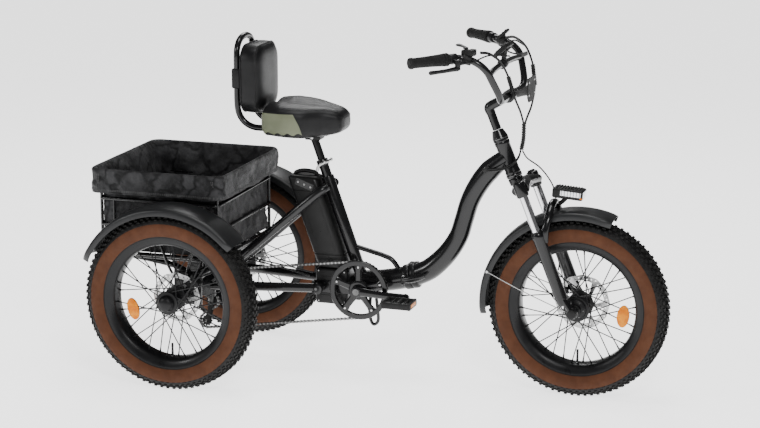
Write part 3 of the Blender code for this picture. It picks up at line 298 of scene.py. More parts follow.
HIDE = {"name": "black_leather", "colour": (0.006, 0.006, 0.006), "roughness": 0.4, "specular": 0.22}
HIDE_TINT = (16, (0.004, 0.004, 0.0045), (0.008, 0.008, 0.0085))
HIDE_ROUGH = (30, 0.36, 0.42)
HIDE_GRAIN = [(CELLS, 620, 0.0004, 0.55), (CLOUD, 1800, 0.0001, 0.4)]


def saddle_leather():
    """Black leather with an olive panel let into the rear of each side, above a scalloped skirt."""
    look = Look(**HIDE | {"name": "saddle_leather"})
    split = look.add("ShaderNodeSeparateXYZ")
    look.link(look.place, split.inputs["Vector"])
    along, across, up = (split.outputs[k] for k in ("X", "Y", "Z"))
    depth = look.combine(0.86, up, "SUBTRACT")
    lean = look.combine(look.combine(look.combine(0.65, look.combine(depth, 4.0, "MULTIPLY"), "SUBTRACT"), depth,
                                     "MULTIPLY"), -0.27, "ADD")
    scallop = look.combine(look.combine(look.combine(along, 190.0, "MULTIPLY"), 0.0, "SINE"), 0.0038, "MULTIPLY")
    edges = (look.combine(lean, along, "SUBTRACT"),
             look.combine(up, look.combine(scallop, 0.7985, "ADD"), "SUBTRACT"),
             look.combine(0.864, up, "SUBTRACT"),
             look.combine(look.combine(across, 0.0, "ABSOLUTE"), 0.055, "SUBTRACT"))
    panel = 1.0
    for edge in edges:
        panel = look.combine(panel, look.ramp(edge, 0.0, 1.0, 0.0, 0.0012), "MULTIPLY")
    black = look.tint(look.cloud(HIDE_TINT[0]), *HIDE_TINT[1:])
    olive = look.tint(look.cloud(14), (0.105, 0.116, 0.072), (0.142, 0.154, 0.1))
    look.choose(panel, black, olive)
    look.bump(panel, 0.0006, 0.7)
    look.rough(look.cloud(HIDE_ROUGH[0]), *HIDE_ROUGH[1:])
    for texture, scale, distance, strength in HIDE_GRAIN:
        look.bump(texture(look, scale), distance, strength)
    return look


def oxford_cloth():
    """Coated oxford cloth: a square weave, and the soft crinkles of a folded liner, whose shade is painted into the
    colour: darker crease lines and hollows, lighter ridges.
    """
    look = Look("oxford_cloth", (0.016, 0.016, 0.017), 0.6, sheen=0.03, specular=0.22)
    weave = look.combine(look.combine(look.stripes("X", 420), look.stripes("Y", 420), "MULTIPLY"),
                         look.stripes("Z", 420), "ADD")
    crease = look.cloud(16, 4.0)
    # painted shade: thin dark lines where this cloud crosses its middle stand for shaded creases
    shaded_crease_lines = look.combine(look.combine(look.cloud(9, 3.0), 0.5, "SUBTRACT"), 0.0, "ABSOLUTE")
    # painted shade and highlight: the colour darkens along those lines and in the low parts of the crinkle bump, and
    # lightens on its ridges
    fold_shade = look.combine(look.ramp(shaded_crease_lines, 0.0, 1.0, 0.004, 0.045), look.ramp(crease, 0.35, 1.0, 0.38, 0.58),
                         "MULTIPLY")
    grain = look.ramp(look.cloud(900), 0.55, 1.0, 0.35, 0.6)
    # the painted fold shade, times a fine grain, tints the cloth from near black to dark grey
    look.tint(look.combine(fold_shade, grain, "MULTIPLY"), (0.0025, 0.0025, 0.003), (0.042, 0.042, 0.044), 0.1, 0.95)
    look.rough(look.cloud(30), 0.44, 0.64)
    look.bump(crease, 0.022, 0.8)
    look.bump(look.cloud(44, 4.0), 0.006, 0.6)
    look.bump(look.cloud(1300), 0.0006, 0.8)
    return look.bump(weave, 0.0003, 0.5)


def moulded(name, tone=0.008, roughness=0.5):
    return plain(name, (tone, tone, tone * 1.05), roughness, (50, roughness - 0.07, roughness + 0.08),
                 (9, (tone * 0.8,) * 3, (tone * 1.25,) * 3), [(CELLS, 1500, 0.00012, 0.5)], specular=0.22)


def lamp_white():
    look = Look("lamp_lens", (0.85, 0.87, 0.9), 0.1, coat=1.0)
    look.glow(0.5)
    look.tint(look.cloud(55), (0.7, 0.72, 0.76), (0.95, 0.96, 0.98))
    return look.bump(look.stripes("X", 60), 0.0008, 0.7)


PAINT = plain("gloss_black_paint", (0.006, 0.006, 0.007), 0.22, (7, 0.2, 0.3),
              (3, (0.003, 0.003, 0.0035), (0.006, 0.006, 0.0065)), [(CLOUD, 160, 0.00001, 0.2)], coat=0.35,
              coat_roughness=0.04, specular=0.22)
SATIN = plain("satin_fender_paint", (0.022, 0.023, 0.025), 0.38, (11, 0.33, 0.45),
              (5, (0.008, 0.0083, 0.009), (0.013, 0.0134, 0.0142)), [(CLOUD, 1400, 0.0001, 0.4)], coat=0.1,
              coat_roughness=0.3, specular=0.3)
BLACK = satin_black()
RIM_BLACK = satin_black("rim_black", 0.3)
TYRE = tyre_rubber()
KNOB = plain("tread_rubber", (0.013, 0.013, 0.013), 0.62, (120, 0.52, 0.72),
             (40, (0.006, 0.006, 0.006), (0.014, 0.0135, 0.013)), [(CLOUD, 800, 0.0003, 0.6)], specular=0.18)
STEEL = brushed_steel()
DARK_STEEL = brushed_steel("dark_steel", 0.12, 0.34)
CHAIN_STEEL = brushed_steel("chain_steel", 0.34, 0.33)
CHROME = plain("polished_chrome", (0.78, 0.78, 0.8), 0.08, (15, 0.05, 0.12), bumps=[(CLOUD, 250, 0.00003, 0.4)],
               metallic=1.0)
LEATHER = plain(rough=HIDE_ROUGH, tint=HIDE_TINT, bumps=HIDE_GRAIN, **HIDE)
SADDLE_LEATHER = saddle_leather()
CLOTH = oxford_cloth()
PLASTIC = moulded("moulded_black")
PACK = moulded("battery_shell", 0.008, 0.34)
GREY = moulded("grey_moulding", 0.055, 0.45)
GRIP = plain("grip_rubber", (0.008, 0.008, 0.008), 0.68, (70, 0.6, 0.78),
             bumps=[(CELLS, 330, 0.0007, 0.6), (CLOUD, 1200, 0.0002, 0.4)], specular=0.2)
CABLE = plain("cable_cover", (0.007, 0.007, 0.007), 0.42, (60, 0.36, 0.5), bumps=[(CLOUD, 900, 0.0001, 0.4)],
              specular=0.25)
AMBER = plain("amber_reflector", (1.0, 0.4, 0.0), 0.3, tint=(50, (0.62, 0.15, 0.0), (0.78, 0.26, 0.0)),
              bumps=[(CELLS, 300, 0.0012, 0.9)], specular=0.2)
LENS = lamp_white()
GLASS = plain("screen_glass", (0.012, 0.014, 0.017), 0.08, (35, 0.06, 0.14), bumps=[(CLOUD, 300, 0.00003, 0.3)],
              coat=1.0)
GREY_THREAD = moulded("stitching", 0.1, 0.7)
MATT = moulded("matt_black", 0.006, 0.65)


# ---------------------------------------------------------------- shapes
def turn_to(axis):
    return Z_AXIS.rotation_difference(Vector(axis).normalized()).to_matrix().to_4x4()


def curve_through(points, steps=8):
    """Catmull-Rom points through a route's own points."""
    pts = [Vector(p) for p in points]
    ends = [2 * pts[0] - pts[1]] + pts + [2 * pts[-1] - pts[-2]]
    route = []
    for i in range(1, len(ends) - 2):
        a, b, c, d = ends[i - 1:i + 3]
        for k in range(steps):
            t = k / steps
            route.append(0.5 * (2 * b + (c - a) * t + (2 * a - 5 * b + 4 * c - d) * t * t
                                + (3 * b - a - 3 * c + d) * t ** 3))
    return route + [pts[-1]]


def spread(values, steps=8):
    """Numbers for each point of curve_through, from one number for each of the route's own points."""
    out = []
    for a, b in zip(values, values[1:]):
        out += [a + (b - a) * k / steps for k in range(steps)]
    return out + [values[-1]]


class Shape:
    """Several solids in one mesh, each with its own look."""

    def __init__(self, name, look):
        self.name = name
        self.bm = bmesh.new()
        self.looks = []
        self.paint(look)

    def paint(self, look):
        """What is added after this has this look."""
        if look.material not in self.looks:
            self.looks.append(look.material)
        self.index = self.looks.index(look.material)
        return self

    def merge(self, bm, matrix=None):
        if matrix:
            bmesh.ops.transform(bm, verts=bm.verts, matrix=matrix)
        bmesh.ops.remove_doubles(bm, verts=bm.verts, dist=1e-6)
        bmesh.ops.recalc_face_normals(bm, faces=bm.faces)
        for face in bm.faces:
            face.material_index = self.index
        mesh = bpy.data.meshes.new("part")
        bm.to_mesh(mesh)
        bm.free()
        self.bm.from_mesh(mesh)
        bpy.data.meshes.remove(mesh)
        return self

    def loft(self, rings, closed=False):
        """A solid through rings of points, with its two ends capped unless it closes on itself."""
        bm = bmesh.new()
        loops = [[bm.verts.new(p) for p in ring] for ring in rings]
        pairs = list(zip(loops, loops[1:]))
        if closed:
            pairs.append((loops[-1], loops[0]))
        count = len(rings[0])
        for a, b in pairs:
            for i in range(count):
                j = (i + 1) % count
                bm.faces.new((a[i], a[j], b[j], b[i]))
        if not closed:
            bm.faces.new(loops[0])
            bm.faces.new(loops[-1][::-1])
        return self.merge(bm)

    def tube(self, points, radius, sides=20, radii=None, flat=1.0, closed=False):
        """A round or oval bar along a route; flat scales it across the direction nearest to up."""
        pts = [Vector(p) for p in points]
        count = len(pts)
        rings = []
        side = None
        for i, point in enumerate(pts):
            before = pts[i - 1] if i or closed else pts[0]
            after = pts[(i + 1) % count] if i < count - 1 or closed else pts[-1]
            along = (after - before).normalized()
            if side is None:
                side = along.cross(Z_AXIS if abs(along.z) < 0.9 else Y_AXIS).normalized()
            side = (side - along * side.dot(along)).normalized()
            up = side.cross(along)
            r = radius * (radii[i] if radii else 1.0)
            rings.append([point + side * math.cos(t) * r + up * math.sin(t) * r * flat
                          for t in around(sides)])
        return self.loft(rings, closed=closed)

    def bend(self, points, steps, *settings, **more):
        """A tube along a smooth curve through the points."""
        return self.tube(curve_through(points, steps), *settings, **more)

    def rod(self, start, end, radius, end_radius=None, sides=24, round_edge=0.0):
        """A straight bar between two points, with its end edges rounded."""
        start, end = Vector(start), Vector(end)
        last = radius if end_radius is None else end_radius
        length = (end - start).length
        e = min(round_edge, length * 0.4)
        profile = [(0, 0), (radius - e, 0), (radius - e * 0.3, e * 0.3), (radius, e), (last, length - e),
                   (last - e * 0.3, length - e * 0.3), (last - e, length), (0, length)]
        return self.lathe(profile, start, end - start, sides)

    def lathe(self, profile, centre, axis, steps=48, closed=False):
        """Points (radius, height) turned about an axis through the centre."""
        place = Matrix.Translation(Vector(centre)) @ turn_to(axis)
        bm = bmesh.new()
        loops = [[bm.verts.new(place @ Vector((r * math.cos(t), r * math.sin(t), h))) for r, h in profile]
                 for t in around(steps)]
        count = len(profile)
        for i in range(steps):
            a, b = loops[i], loops[(i + 1) % steps]
            for j in range(count if closed else count - 1):
                k = (j + 1) % count
                bm.faces.new((a[j], a[k], b[k], b[j]))
        return self.merge(bm)

    def block(self, centre, size, bevel=0.002, turn=(0, 0, 0), segments=3, taper=1.0):
        """A block with rounded edges, turned by degrees about X, Y and Z; taper narrows its top."""
        bm = bmesh.new()
        bmesh.ops.create_cube(bm, size=1.0)
        for vert in bm.verts:
            k = taper if vert.co.z > 0 else 1.0
            vert.co = Vector((vert.co.x * size[0] * k, vert.co.y * size[1] * k, vert.co.z * size[2]))
        if bevel:
            bmesh.ops.bevel(bm, geom=bm.edges, offset=bevel, segments=segments, profile=0.5, affect="EDGES")
        rotation = Euler([math.radians(a) for a in turn]).to_matrix().to_4x4()
        return self.merge(bm, Matrix.Translation(Vector(centre)) @ rotation)

    def build(self, body, slot, stands_for=(), origin=(0, 0, 0), angle=38):
        """Makes the object, puts it on its body (None for one that bends between two) and replaces CAD nodes."""
        origin = Vector(origin)
        bmesh.ops.translate(self.bm, verts=self.bm.verts, vec=-origin)
        mesh = bpy.data.meshes.new(self.name)
        self.bm.to_mesh(mesh)
        self.bm.free()
        for material in self.looks:
            mesh.materials.append(material)
        mesh.shade_smooth()
        mesh.set_sharp_from_angle(angle=math.radians(angle))
        obj = show(self.name, mesh, origin)
        if body:
            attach(obj, body)
        if stands_for:
            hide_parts(*stands_for)
        return obj


# ---------------------------------------------------------------- camera, floor and light
def set_stage():
    camera = show("camera", bpy.data.cameras.new("camera"), (1.9875, -6.136, 2.065))
    camera.data.sensor_width = 36
    camera.data.lens = 98.5
    camera.rotation_euler = Vector((0.3033, -0.9246, 0.2307)).to_track_quat("Z", "Y").to_euler()
    bpy.context.scene.camera = camera
    floor = bpy.data.meshes.new("floor")
    half = 30
    floor.from_pydata([(-half, -half, 0), (half, -half, 0), (half, half, 0), (-half, half, 0)], [], [(0, 1, 2, 3)])
    pale = Look("pale_floor", (0.9, 0.9, 0.9), 0.9)
    pale.rough(pale.cloud(2), 0.85, 0.95)
    pale.glow(2.1)
    floor.materials.append(pale.material)
    ground = show("floor", floor, (0, 0, -0.0005))
    world = bpy.data.worlds.new("studio")
    world.use_nodes = True
    world.node_tree.nodes["Background"].inputs["Color"].default_value = (1, 1, 1, 1)
    world.node_tree.nodes["Background"].inputs["Strength"].default_value = 0.14
    bpy.context.scene.world = world
    lights = (("key", (1.8, -3.4, 3.6), 95, 1.1), ("fill", (-3.2, -2.6, 2.4), 45, 1.0),
              ("rim", (-1.0, 3.2, 3.2), 45, 1.4), ("top", (0.2, 0.0, 4.2), 70, 1.6))
    for name, place, power, size in lights:
        lamp = bpy.data.lights.new(name, "AREA")
        lamp.energy = power
        lamp.size = size
        aim = Vector((0, 0, 0.5)) - Vector(place)
        show(name, lamp, place).rotation_euler = aim.to_track_quat("-Z", "Y").to_euler()


# ---------------------------------------------------------------- wheels
TREAD_PITCH = 84
TREAD_ROWS = (
    # side distance, its width, its length along the tread, its height (0 reaches the ground), its offset in pitches
    (0.006, 0.0085, 0.0125, 0.0, 0.0),
    (0.018, 0.009, 0.0105, 0.0, 0.5),
    (0.029, 0.008, 0.012, 0.005, 0.0),
    (0.0385, 0.006, 0.01, 0.0042, 0.5),
    (0.0452, 0.0038, 0.0105, 0.0016, 0.0),
)
CARCASS = [(0.206, 0.033), (0.2105, 0.0385), (0.215, 0.0415), (0.2225, 0.045), (0.234, 0.048),
           (0.246, 0.0485), (0.256, 0.0468), (0.264, 0.0425), (0.271, 0.0345), (0.2755, 0.024),
           (0.278, 0.012), (0.2788, 0.0)]
SPOKES = 36
SPOKE_END_R = 0.1832
VENTS = 36
DISC_ARMS = 6


def wheel_node(kind, label):
    return "front_" + kind if label == "front" else "rear_" + kind + "_" + label


def carcass_at(y):
    """The radius of the carcass at a side distance, and its outward direction there."""
    for (r1, y1), (r2, y2) in zip(CARCASS[5:], CARCASS[6:]):
        if y1 >= y >= y2:
            t = (y1 - y) / (y1 - y2)
            slope = Vector((y1 - y2, r2 - r1)).normalized()
            return r1 + (r2 - r1) * t, slope
    return CARCASS[-1][0], Vector((1, 0))


def tyre(label, body, centre):
    shape = Shape("tyre_" + label, TYRE)
    inner = [(0.206, -0.028), (0.234, -0.042), (0.264, -0.036), (0.272, 0.0), (0.264, 0.036),
             (0.234, 0.042), (0.206, 0.028)]
    shape.lathe(mirrored(CARCASS) + inner, centre, Y_AXIS, 120, closed=True)
    shape.paint(KNOB)
    bm = bmesh.new()
    for distance, width, length, height, shift in TREAD_ROWS:
        r, normal = carcass_at(distance)
        reach = height or (TYRE_R - r) / normal.x
        for side in (-1, 1):
            for k in range(TREAD_PITCH):
                t = 2 * math.pi * (k + shift + (0.25 if side > 0 else 0.0)) / TREAD_PITCH
                out, along = radial(t), radial(t + math.pi / 2)
                up = out * normal.x + Y_AXIS * side * normal.y
                across = Y_AXIS * normal.x - out * side * normal.y
                base = Vector(centre) + out * r + Y_AXIS * side * distance
                verts = [bm.verts.new(base + up * rise + (across * a * width + along * b * length) * share)
                         for rise, share in ((-0.001, 0.5), (reach, 0.4))
                         for a, b in ((-1, -1), (1, -1), (1, 1), (-1, 1))]
                for i in range(4):
                    j = (i + 1) % 4
                    bm.faces.new((verts[i], verts[j], verts[j + 4], verts[i + 4]))
                bm.faces.new(verts[4:])
                bm.faces.new(verts[3::-1])
    shape.merge(bm)
    shape.build(body, "tyre_rubber", (wheel_node("tyre", label),), centre, 30)


def rim(label, body, centre):
    shape = Shape("rim_" + label, RIM_BLACK)
    half = [(0.2105, 0.036), (0.2135, 0.0368), (0.2142, 0.039), (0.2125, 0.0405), (0.208, 0.04),
            (0.2, 0.0372), (0.193, 0.0335), (0.187, 0.0285), (0.1838, 0.02), (0.183, 0.0)]
    bed = [(0.186, 0.0), (0.1868, 0.019), (0.1975, 0.027), (0.203, 0.031), (0.204, 0.035)]
    shape.lathe(mirrored(half) + [(r, -y) for r, y in reversed(bed[1:])] + bed, centre, Y_AXIS, 120, closed=True)
    foot = Vector(centre) - Z_AXIS * 0.183
    shape.paint(CABLE).rod(foot, foot + Z_AXIS * 0.03, 0.0042, 0.0034, 12, 0.001)
    shape.paint(BLACK).rod(foot + Z_AXIS * 0.03, foot + Z_AXIS * 0.043, 0.004, 0.0036, 12, 0.001)
    shape.paint(STEEL).rod(foot, foot + Z_AXIS * 0.002, 0.0062, sides=6, round_edge=0.0004)
    shape.build(body, "rim_black", (wheel_node("rim", label),), centre)


def spokes(shape, centre, flange_r, flange_y):
    """Crossing spokes in pairs from both flanges, with their nipples at the rim."""
    for i in range(SPOKES):
        side = 1 if i % 2 else -1
        lead = 1 if (i // 2) % 2 else -1
        angle = 2 * math.pi * (i + 0.5) / SPOKES
        start = centre + radial(angle + lead * math.radians(62)) * flange_r + Y_AXIS * side * flange_y
        end = centre + radial(angle) * SPOKE_END_R + Y_AXIS * side * 0.01
        shape.rod(start, end, 0.0018, sides=8)
        shape.rod(end + (start - end).normalized() * 0.013, end, 0.0022, 0.0028, 8)
        shape.rod(start - Y_AXIS * side * 0.003, start + Y_AXIS * side * 0.0025, 0.0022, sides=8)


def rear_hub(label, side):
    centre = REAR_AXLES[side]
    shape = Shape("hub_rear_" + label, BLACK)
    profile = [(0, 0.062), (0.008, 0.0615), (0.015, 0.0598), (0.0205, 0.0565), (0.0243, 0.0515), (0.0262, 0.0455),
               (0.0266, 0.0405), (0.024, 0.0385),
               (0.036, 0.0372), (0.0372, 0.0355), (0.0372, 0.03), (0.036, 0.0288), (0.0262, 0.027),
               (0.023, 0.022), (0.0225, -0.022), (0.0262, -0.027), (0.036, -0.0288), (0.0372, -0.03),
               (0.0372, -0.0355), (0.036, -0.0372), (0.025, -0.0385), (0.025, -0.0425), (0.0086, -0.0425),
               (0.0086, -0.115)]
    shape.lathe(profile, centre, Y_AXIS * side, 48)
    shape.paint(DARK_STEEL)
    shape.lathe([(0.0085, -0.115), (0.0085, -0.3235), (0, -0.324)], centre, Y_AXIS * side, 24)
    shape.paint(RIM_BLACK)
    spokes(shape, centre, 0.0335, 0.033)
    shape.build("rear_wheel_" + label, "rim_black", ("rear_hub_" + label,), centre)


def front_hub():
    """A plain hub between two spoke flanges, with a bolted cover on each side."""
    shape = Shape("hub_front", BLACK)
    half = [(0.0072, 0.062), (0.015, 0.0618), (0.0185, 0.06), (0.0195, 0.048), (0.029, 0.0445), (0.033, 0.041),
            (0.034, 0.0378), (0.0395, 0.0368), (0.0408, 0.035), (0.0408, 0.03), (0.0395, 0.0288),
            (0.0315, 0.0265), (0.03, 0.01), (0.03, 0.0)]
    shape.lathe(mirrored(half), FRONT_AXLE, Y_AXIS, 64)
    shape.paint(DARK_STEEL)
    for t in around(6):
        for side in (-1, 1):
            bolt = FRONT_AXLE + radial(t) * 0.025 + Y_AXIS * side * 0.0452
            shape.rod(bolt, bolt + Y_AXIS * side * 0.0022, 0.0026, sides=6, round_edge=0.0005)
    shape.paint(RIM_BLACK)
    spokes(shape, FRONT_AXLE, 0.0372, 0.0325)
    shape.build("front_wheel", "rim_black", ("front_hub",), FRONT_AXLE)


def disc_rotor(name, node, body, radius, bore):
    """A drilled disc: a flat outline with windows and vent holes, given thickness."""
    curve = bpy.data.curves.new(name, "CURVE")
    curve.dimensions = "2D"
    curve.fill_mode = "BOTH"
    curve.extrude = 0.0009

    def polar(r, t):
        return r * math.cos(t), r * math.sin(t)

    def outline(points):
        spline = curve.splines.new("POLY")
        spline.points.add(len(points) - 1)
        for point, (x, y) in zip(spline.points, points):
            point.co = (x, y, 0, 1)
        spline.use_cyclic_u = True

    def circle(x, y, r, count):
        outline([(x + r * math.cos(t), y + r * math.sin(t)) for t in around(count)])

    outline([polar(radius - 0.0012 + 0.0012 * math.cos(12 * t), t) for t in around(144)])
    circle(0, 0, bore, 36)
    for start in around(DISC_ARMS):
        sweep = [start + 0.1 + (2 * math.pi / DISC_ARMS - 0.26) * i / 8 for i in range(9)]
        outline([polar(radius - 0.018, t) for t in sweep]
                + [polar(bore + 0.013, t - 0.28) for t in reversed(sweep)])
    for k, t in enumerate(around(VENTS)):
        circle(*polar(radius - (0.006, 0.0095, 0.013)[k % 3], t), 0.0021, 10)
    for t in around(DISC_ARMS):
        circle(*polar(bore + 0.006, t), 0.0018, 10)
    flat = show(name, curve, middle_of(node))
    flat.rotation_euler = (math.pi / 2, 0, 0)
    curve.materials.append(STEEL.material)
    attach(flat, body)
    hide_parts(node)


def spoke_reflector(name, body, centre, angle, reach, out):
    t = math.radians(angle)
    across, along = radial(t), radial(t + math.pi / 2)
    middle = centre + across * reach + Y_AXIS * out * 0.018
    shape = Shape(name, AMBER)
    shape.loft([[middle + Y_AXIS * out * depth + along * 0.0355 * size * math.cos(a)
                 + across * 0.0195 * size * math.sin(a) for a in around(32)]
                for depth, size in ((-0.0035, 0.9), (-0.0025, 1.0), (0.0025, 1.0), (0.0045, 0.86))])
    shape.build(body, "black_plastic")


def wheels():
    for label, side in SIDES:
        body, axle = "rear_wheel_" + label, REAR_AXLES[side]
        tyre(label, body, axle)
        rim(label, body, axle)
        rear_hub(label, side)
        disc_rotor("rotor_rear_" + label, "rear_rotor_" + label, body, 0.08, 0.0095)
        spoke_reflector("reflector_rear_" + label, body, axle, 195, 0.128, side)
    tyre("front", "front_wheel", FRONT_AXLE)
    rim("front", "front_wheel", FRONT_AXLE)
    front_hub()
    disc_rotor("rotor_front", "front_rotor", "front_wheel", 0.088, 0.0205)
    spoke_reflector("reflector_front", "front_wheel", FRONT_AXLE, -6, 0.146, -1)


# ---------------------------------------------------------------- mudguards
FENDER_STAYS = (72, 112)  # where each rear mudguard's two stays meet it, in degrees up from the front


def fender(name, centre, start, end, half_w, crown_r):
    """A pressed mudguard: a crowned top, rounded shoulders and a rolled lower edge."""
    outside = [(-half_w, -0.027), (-half_w, -0.015), (-half_w + 0.0016, -0.0095), (-half_w + 0.006, -0.0056),
               (-half_w + 0.015, -0.0032), (-half_w * 0.45, -0.0012), (0, 0)]
    outside += [(-y, d) for y, d in reversed(outside[:-1])]
    inside = [(y * 0.972, d - 0.0016) for y, d in reversed(outside[1:-1])]
    section = outside + [(half_w - 0.0026, -0.0268)] + inside + [(-half_w + 0.0026, -0.0268)]
    shape = Shape(name, SATIN)
    rings = []
    steps = 72
    for i in range(steps + 1):
        t = i / steps
        a = math.radians(start + (end - start) * t)
        taper = 1.0 - 0.16 * max(0.0, 1 - t / 0.05, 1 - (1 - t) / 0.05) ** 2
        rings.append([(centre[0] + (crown_r + d) * math.cos(a), centre[1] + y * taper,
                       centre[2] + (crown_r + d) * math.sin(a)) for y, d in section])
    shape.loft(rings)
    return shape


def mudguards():
    for label, side in SIDES:
        centre = REAR_AXLES[side]
        shape = fender("mudguard_rear_" + label, centre, 41, 156, 0.0625, 0.312)
        shape.paint(DARK_STEEL)
        for angle in FENDER_STAYS:
            bolt = centre + radial(math.radians(angle)) * 0.303 - Y_AXIS * side * 0.0624
            shape.rod(bolt, bolt - Y_AXIS * side * 0.002, 0.0045, sides=6, round_edge=0.0006)
        shape.build("rear_frame", "fender_paint", ("rear_fender_" + label,))
    shape = fender("mudguard_front", FRONT_AXLE, 69, 187, 0.056, 0.314)
    shape.paint(STEEL)
    for side in (-1, 1):
        top = FRONT_AXLE + radial(math.radians(160)) * 0.3 + Y_AXIS * side * 0.0575
        foot = FRONT_AXLE + Vector((-0.02, side * 0.096, 0.006))
        shape.bend([top, top + (foot - top) * 0.5 + Y_AXIS * side * 0.01, foot], 6, 0.0017, 8)
        shape.rod(top - Y_AXIS * side * 0.003, top + Y_AXIS * side * 0.003, 0.0042, sides=10)
    shape.build("fork_lowers", "fender_paint", ("front_fender",))


# ---------------------------------------------------------------- frames
def main_frame_front():
    shape = Shape("frame_front", PAINT)
    path = [(0.096, 0, 0.342), (0.147, 0, 0.37), (0.2, 0, 0.423), (0.236, 0, 0.481), (0.254, 0, 0.538),
            (0.272, 0, 0.598), (0.3, 0, 0.653), (0.336, 0, 0.701), (0.388, 0, 0.748)]
    sizes = [1.08, 1.08, 1.02, 0.97, 0.95, 0.96, 1.0, 1.03, 0.8]
    shape.bend(path, 10, 0.032, 40, spread(sizes, 10))
    head = [(0.0, 0.094), (0.015, 0.094), (0.0178, 0.0932), (0.0238, 0.0745), (0.0244, 0.0715), (0.025, 0.0705),
            (0.025, 0.059), (0.024, 0.0578), (0.0236, 0.056), (0.0245, 0.0545), (0.0245, 0.047),
            (0.0232, 0.044), (0.0232, -0.04), (0.0245, -0.043), (0.0245, -0.049), (0.0236, -0.0505),
            (0.0248, -0.052), (0.025, -0.06), (0.024, -0.062), (0, -0.062)]
    shape.lathe(head, STEER_TOP, STEER_UP, 56)
    shape.paint(BLACK)
    ring = [(0.033, -0.001), (0.0385, 0.0), (0.0402, 0.0022), (0.0402, 0.015), (0.0385, 0.018), (0.033, 0.0205)]
    shape.lathe(ring + [(0.02, 0.0205), (0.02, -0.001)], HINGE_SEAM + HINGE_ALONG * 0.001, HINGE_ALONG, 48,
                closed=True)
    shape.block((0.098, 0.043, 0.338), (0.018, 0.024, 0.04), 0.003)
    shape.rod(FOLD_PIN - Z_AXIS * 0.022, FOLD_PIN + Z_AXIS * 0.022, 0.0104, sides=28, round_edge=0.001)
    shape.paint(DARK_STEEL)
    for down in (0.0555, -0.0665):
        centre = steer_point(down)
        shape.lathe([(0.0252, 0.0012), (0.0255, 0.0), (0.0252, -0.0012), (0.024, -0.0012), (0.024, 0.0012)],
                    centre, STEER_UP, 48, closed=True)
    shape.paint(CABLE)
    port = Vector((0.332, -0.0325, 0.71))
    shape.block(port, (0.026, 0.004, 0.013), 0.0018, (0, -44, 0))
    shape.build("front_frame", "frame_paint", ("main_frame_front",))


def hinge_collar(shape):
    """The rear half of the hinge: a turned collar, the pin's lugs and the seat of the latch."""
    shape.paint(BLACK)
    ring = [(0.033, 0.001), (0.0385, 0.0), (0.0402, -0.0022), (0.0402, -0.019), (0.0385, -0.0225),
            (0.0325, -0.0255), (0.02, -0.0255), (0.02, 0.001)]
    shape.lathe(ring, HINGE_SEAM - HINGE_ALONG * 0.001, HINGE_ALONG, 48, closed=True)
    for z in (0.309, 0.367):
        shape.block((0.077, 0.0385, z), (0.033, 0.036, 0.0115), 0.003)
    shape.block((0.07, -0.0385, 0.338), (0.016, 0.018, 0.025), 0.003)
    shape.paint(STEEL)
    for sign in (-1, 1):
        top = FOLD_PIN + Z_AXIS * sign * 0.035
        shape.rod(top, top + Z_AXIS * sign * 0.0028, 0.007, 0.006, 6, 0.0008)
    shape.paint(PAINT)


def main_frame_rear():
    shape = Shape("frame_rear", PAINT)
    shape.rod(seat_point(-0.345), seat_point(0.022), 0.02, sides=40, round_edge=0.002)
    shape.rod(seat_point(0.015), seat_point(0.074), 0.0157, sides=36)
    collar = [(0.015, 0.078), (0.018, 0.078), (0.019, 0.0765), (0.019, 0.06), (0.018, 0.0585),
              (0.015, 0.0585)]
    shape.lathe(collar, SEAT_TOP, SEAT_UP, 40, closed=True)
    shell = [(0.0095, 0.046), (0.022, 0.046), (0.024, 0.044), (0.024, -0.044), (0.022, -0.046),
             (0.0095, -0.046)]
    shape.lathe(shell, CRANK, Y_AXIS, 44, closed=True)
    shape.tube(curve_through([(-0.086, 0, 0.3075), (-0.03, 0, 0.3135), (0.03, 0, 0.3245), (0.072, 0, 0.3355)], 6),
               0.0355, 40)
    brace = [(-0.118, 0, 0.424), (-0.06, 0, 0.41), (-0.012, 0, 0.398), (0.018, 0, 0.384), (0.046, 0, 0.346)]
    shape.bend(brace, 8, 0.008, 20)
    for side in (-1, 1):
        shape.block((-0.153, side * 0.0425, 0.291), (0.166, 0.004, 0.038), 0.0012)
        shape.rod((-0.212, side * 0.044, 0.29), (-0.212, side * 0.0452, 0.29), 0.014, sides=32)
    loop = [(-0.06, 0.012, 0.272), (-0.0605, 0.002, 0.215), (-0.058, 0, 0.186), (-0.05, 0, 0.168),
            (-0.04, 0, 0.168), (-0.031, 0, 0.183), (-0.034, 0, 0.225), (-0.042, 0, 0.288)]
    shape.bend(loop, 8, 0.0054, 14)
    shape.tube([seat_point(-0.011, 0.004, -0.034), seat_point(-0.011, 0.004, 0.034)], 0.011, 24)
    hinge_collar(shape)
    shape.paint(STEEL)
    shape.rod(seat_point(*SEAT_LEVER, 0.014), seat_point(*SEAT_LEVER, 0.0185), 0.006, 0.005, 16, 0.001)
    for side in (-1, 1):
        shape.rod(on_crank(side * 0.0462), on_crank(side * 0.049), 0.019, 0.018, 12, 0.0006)
    shape.build("rear_frame", "frame_paint", ("main_frame_rear",))


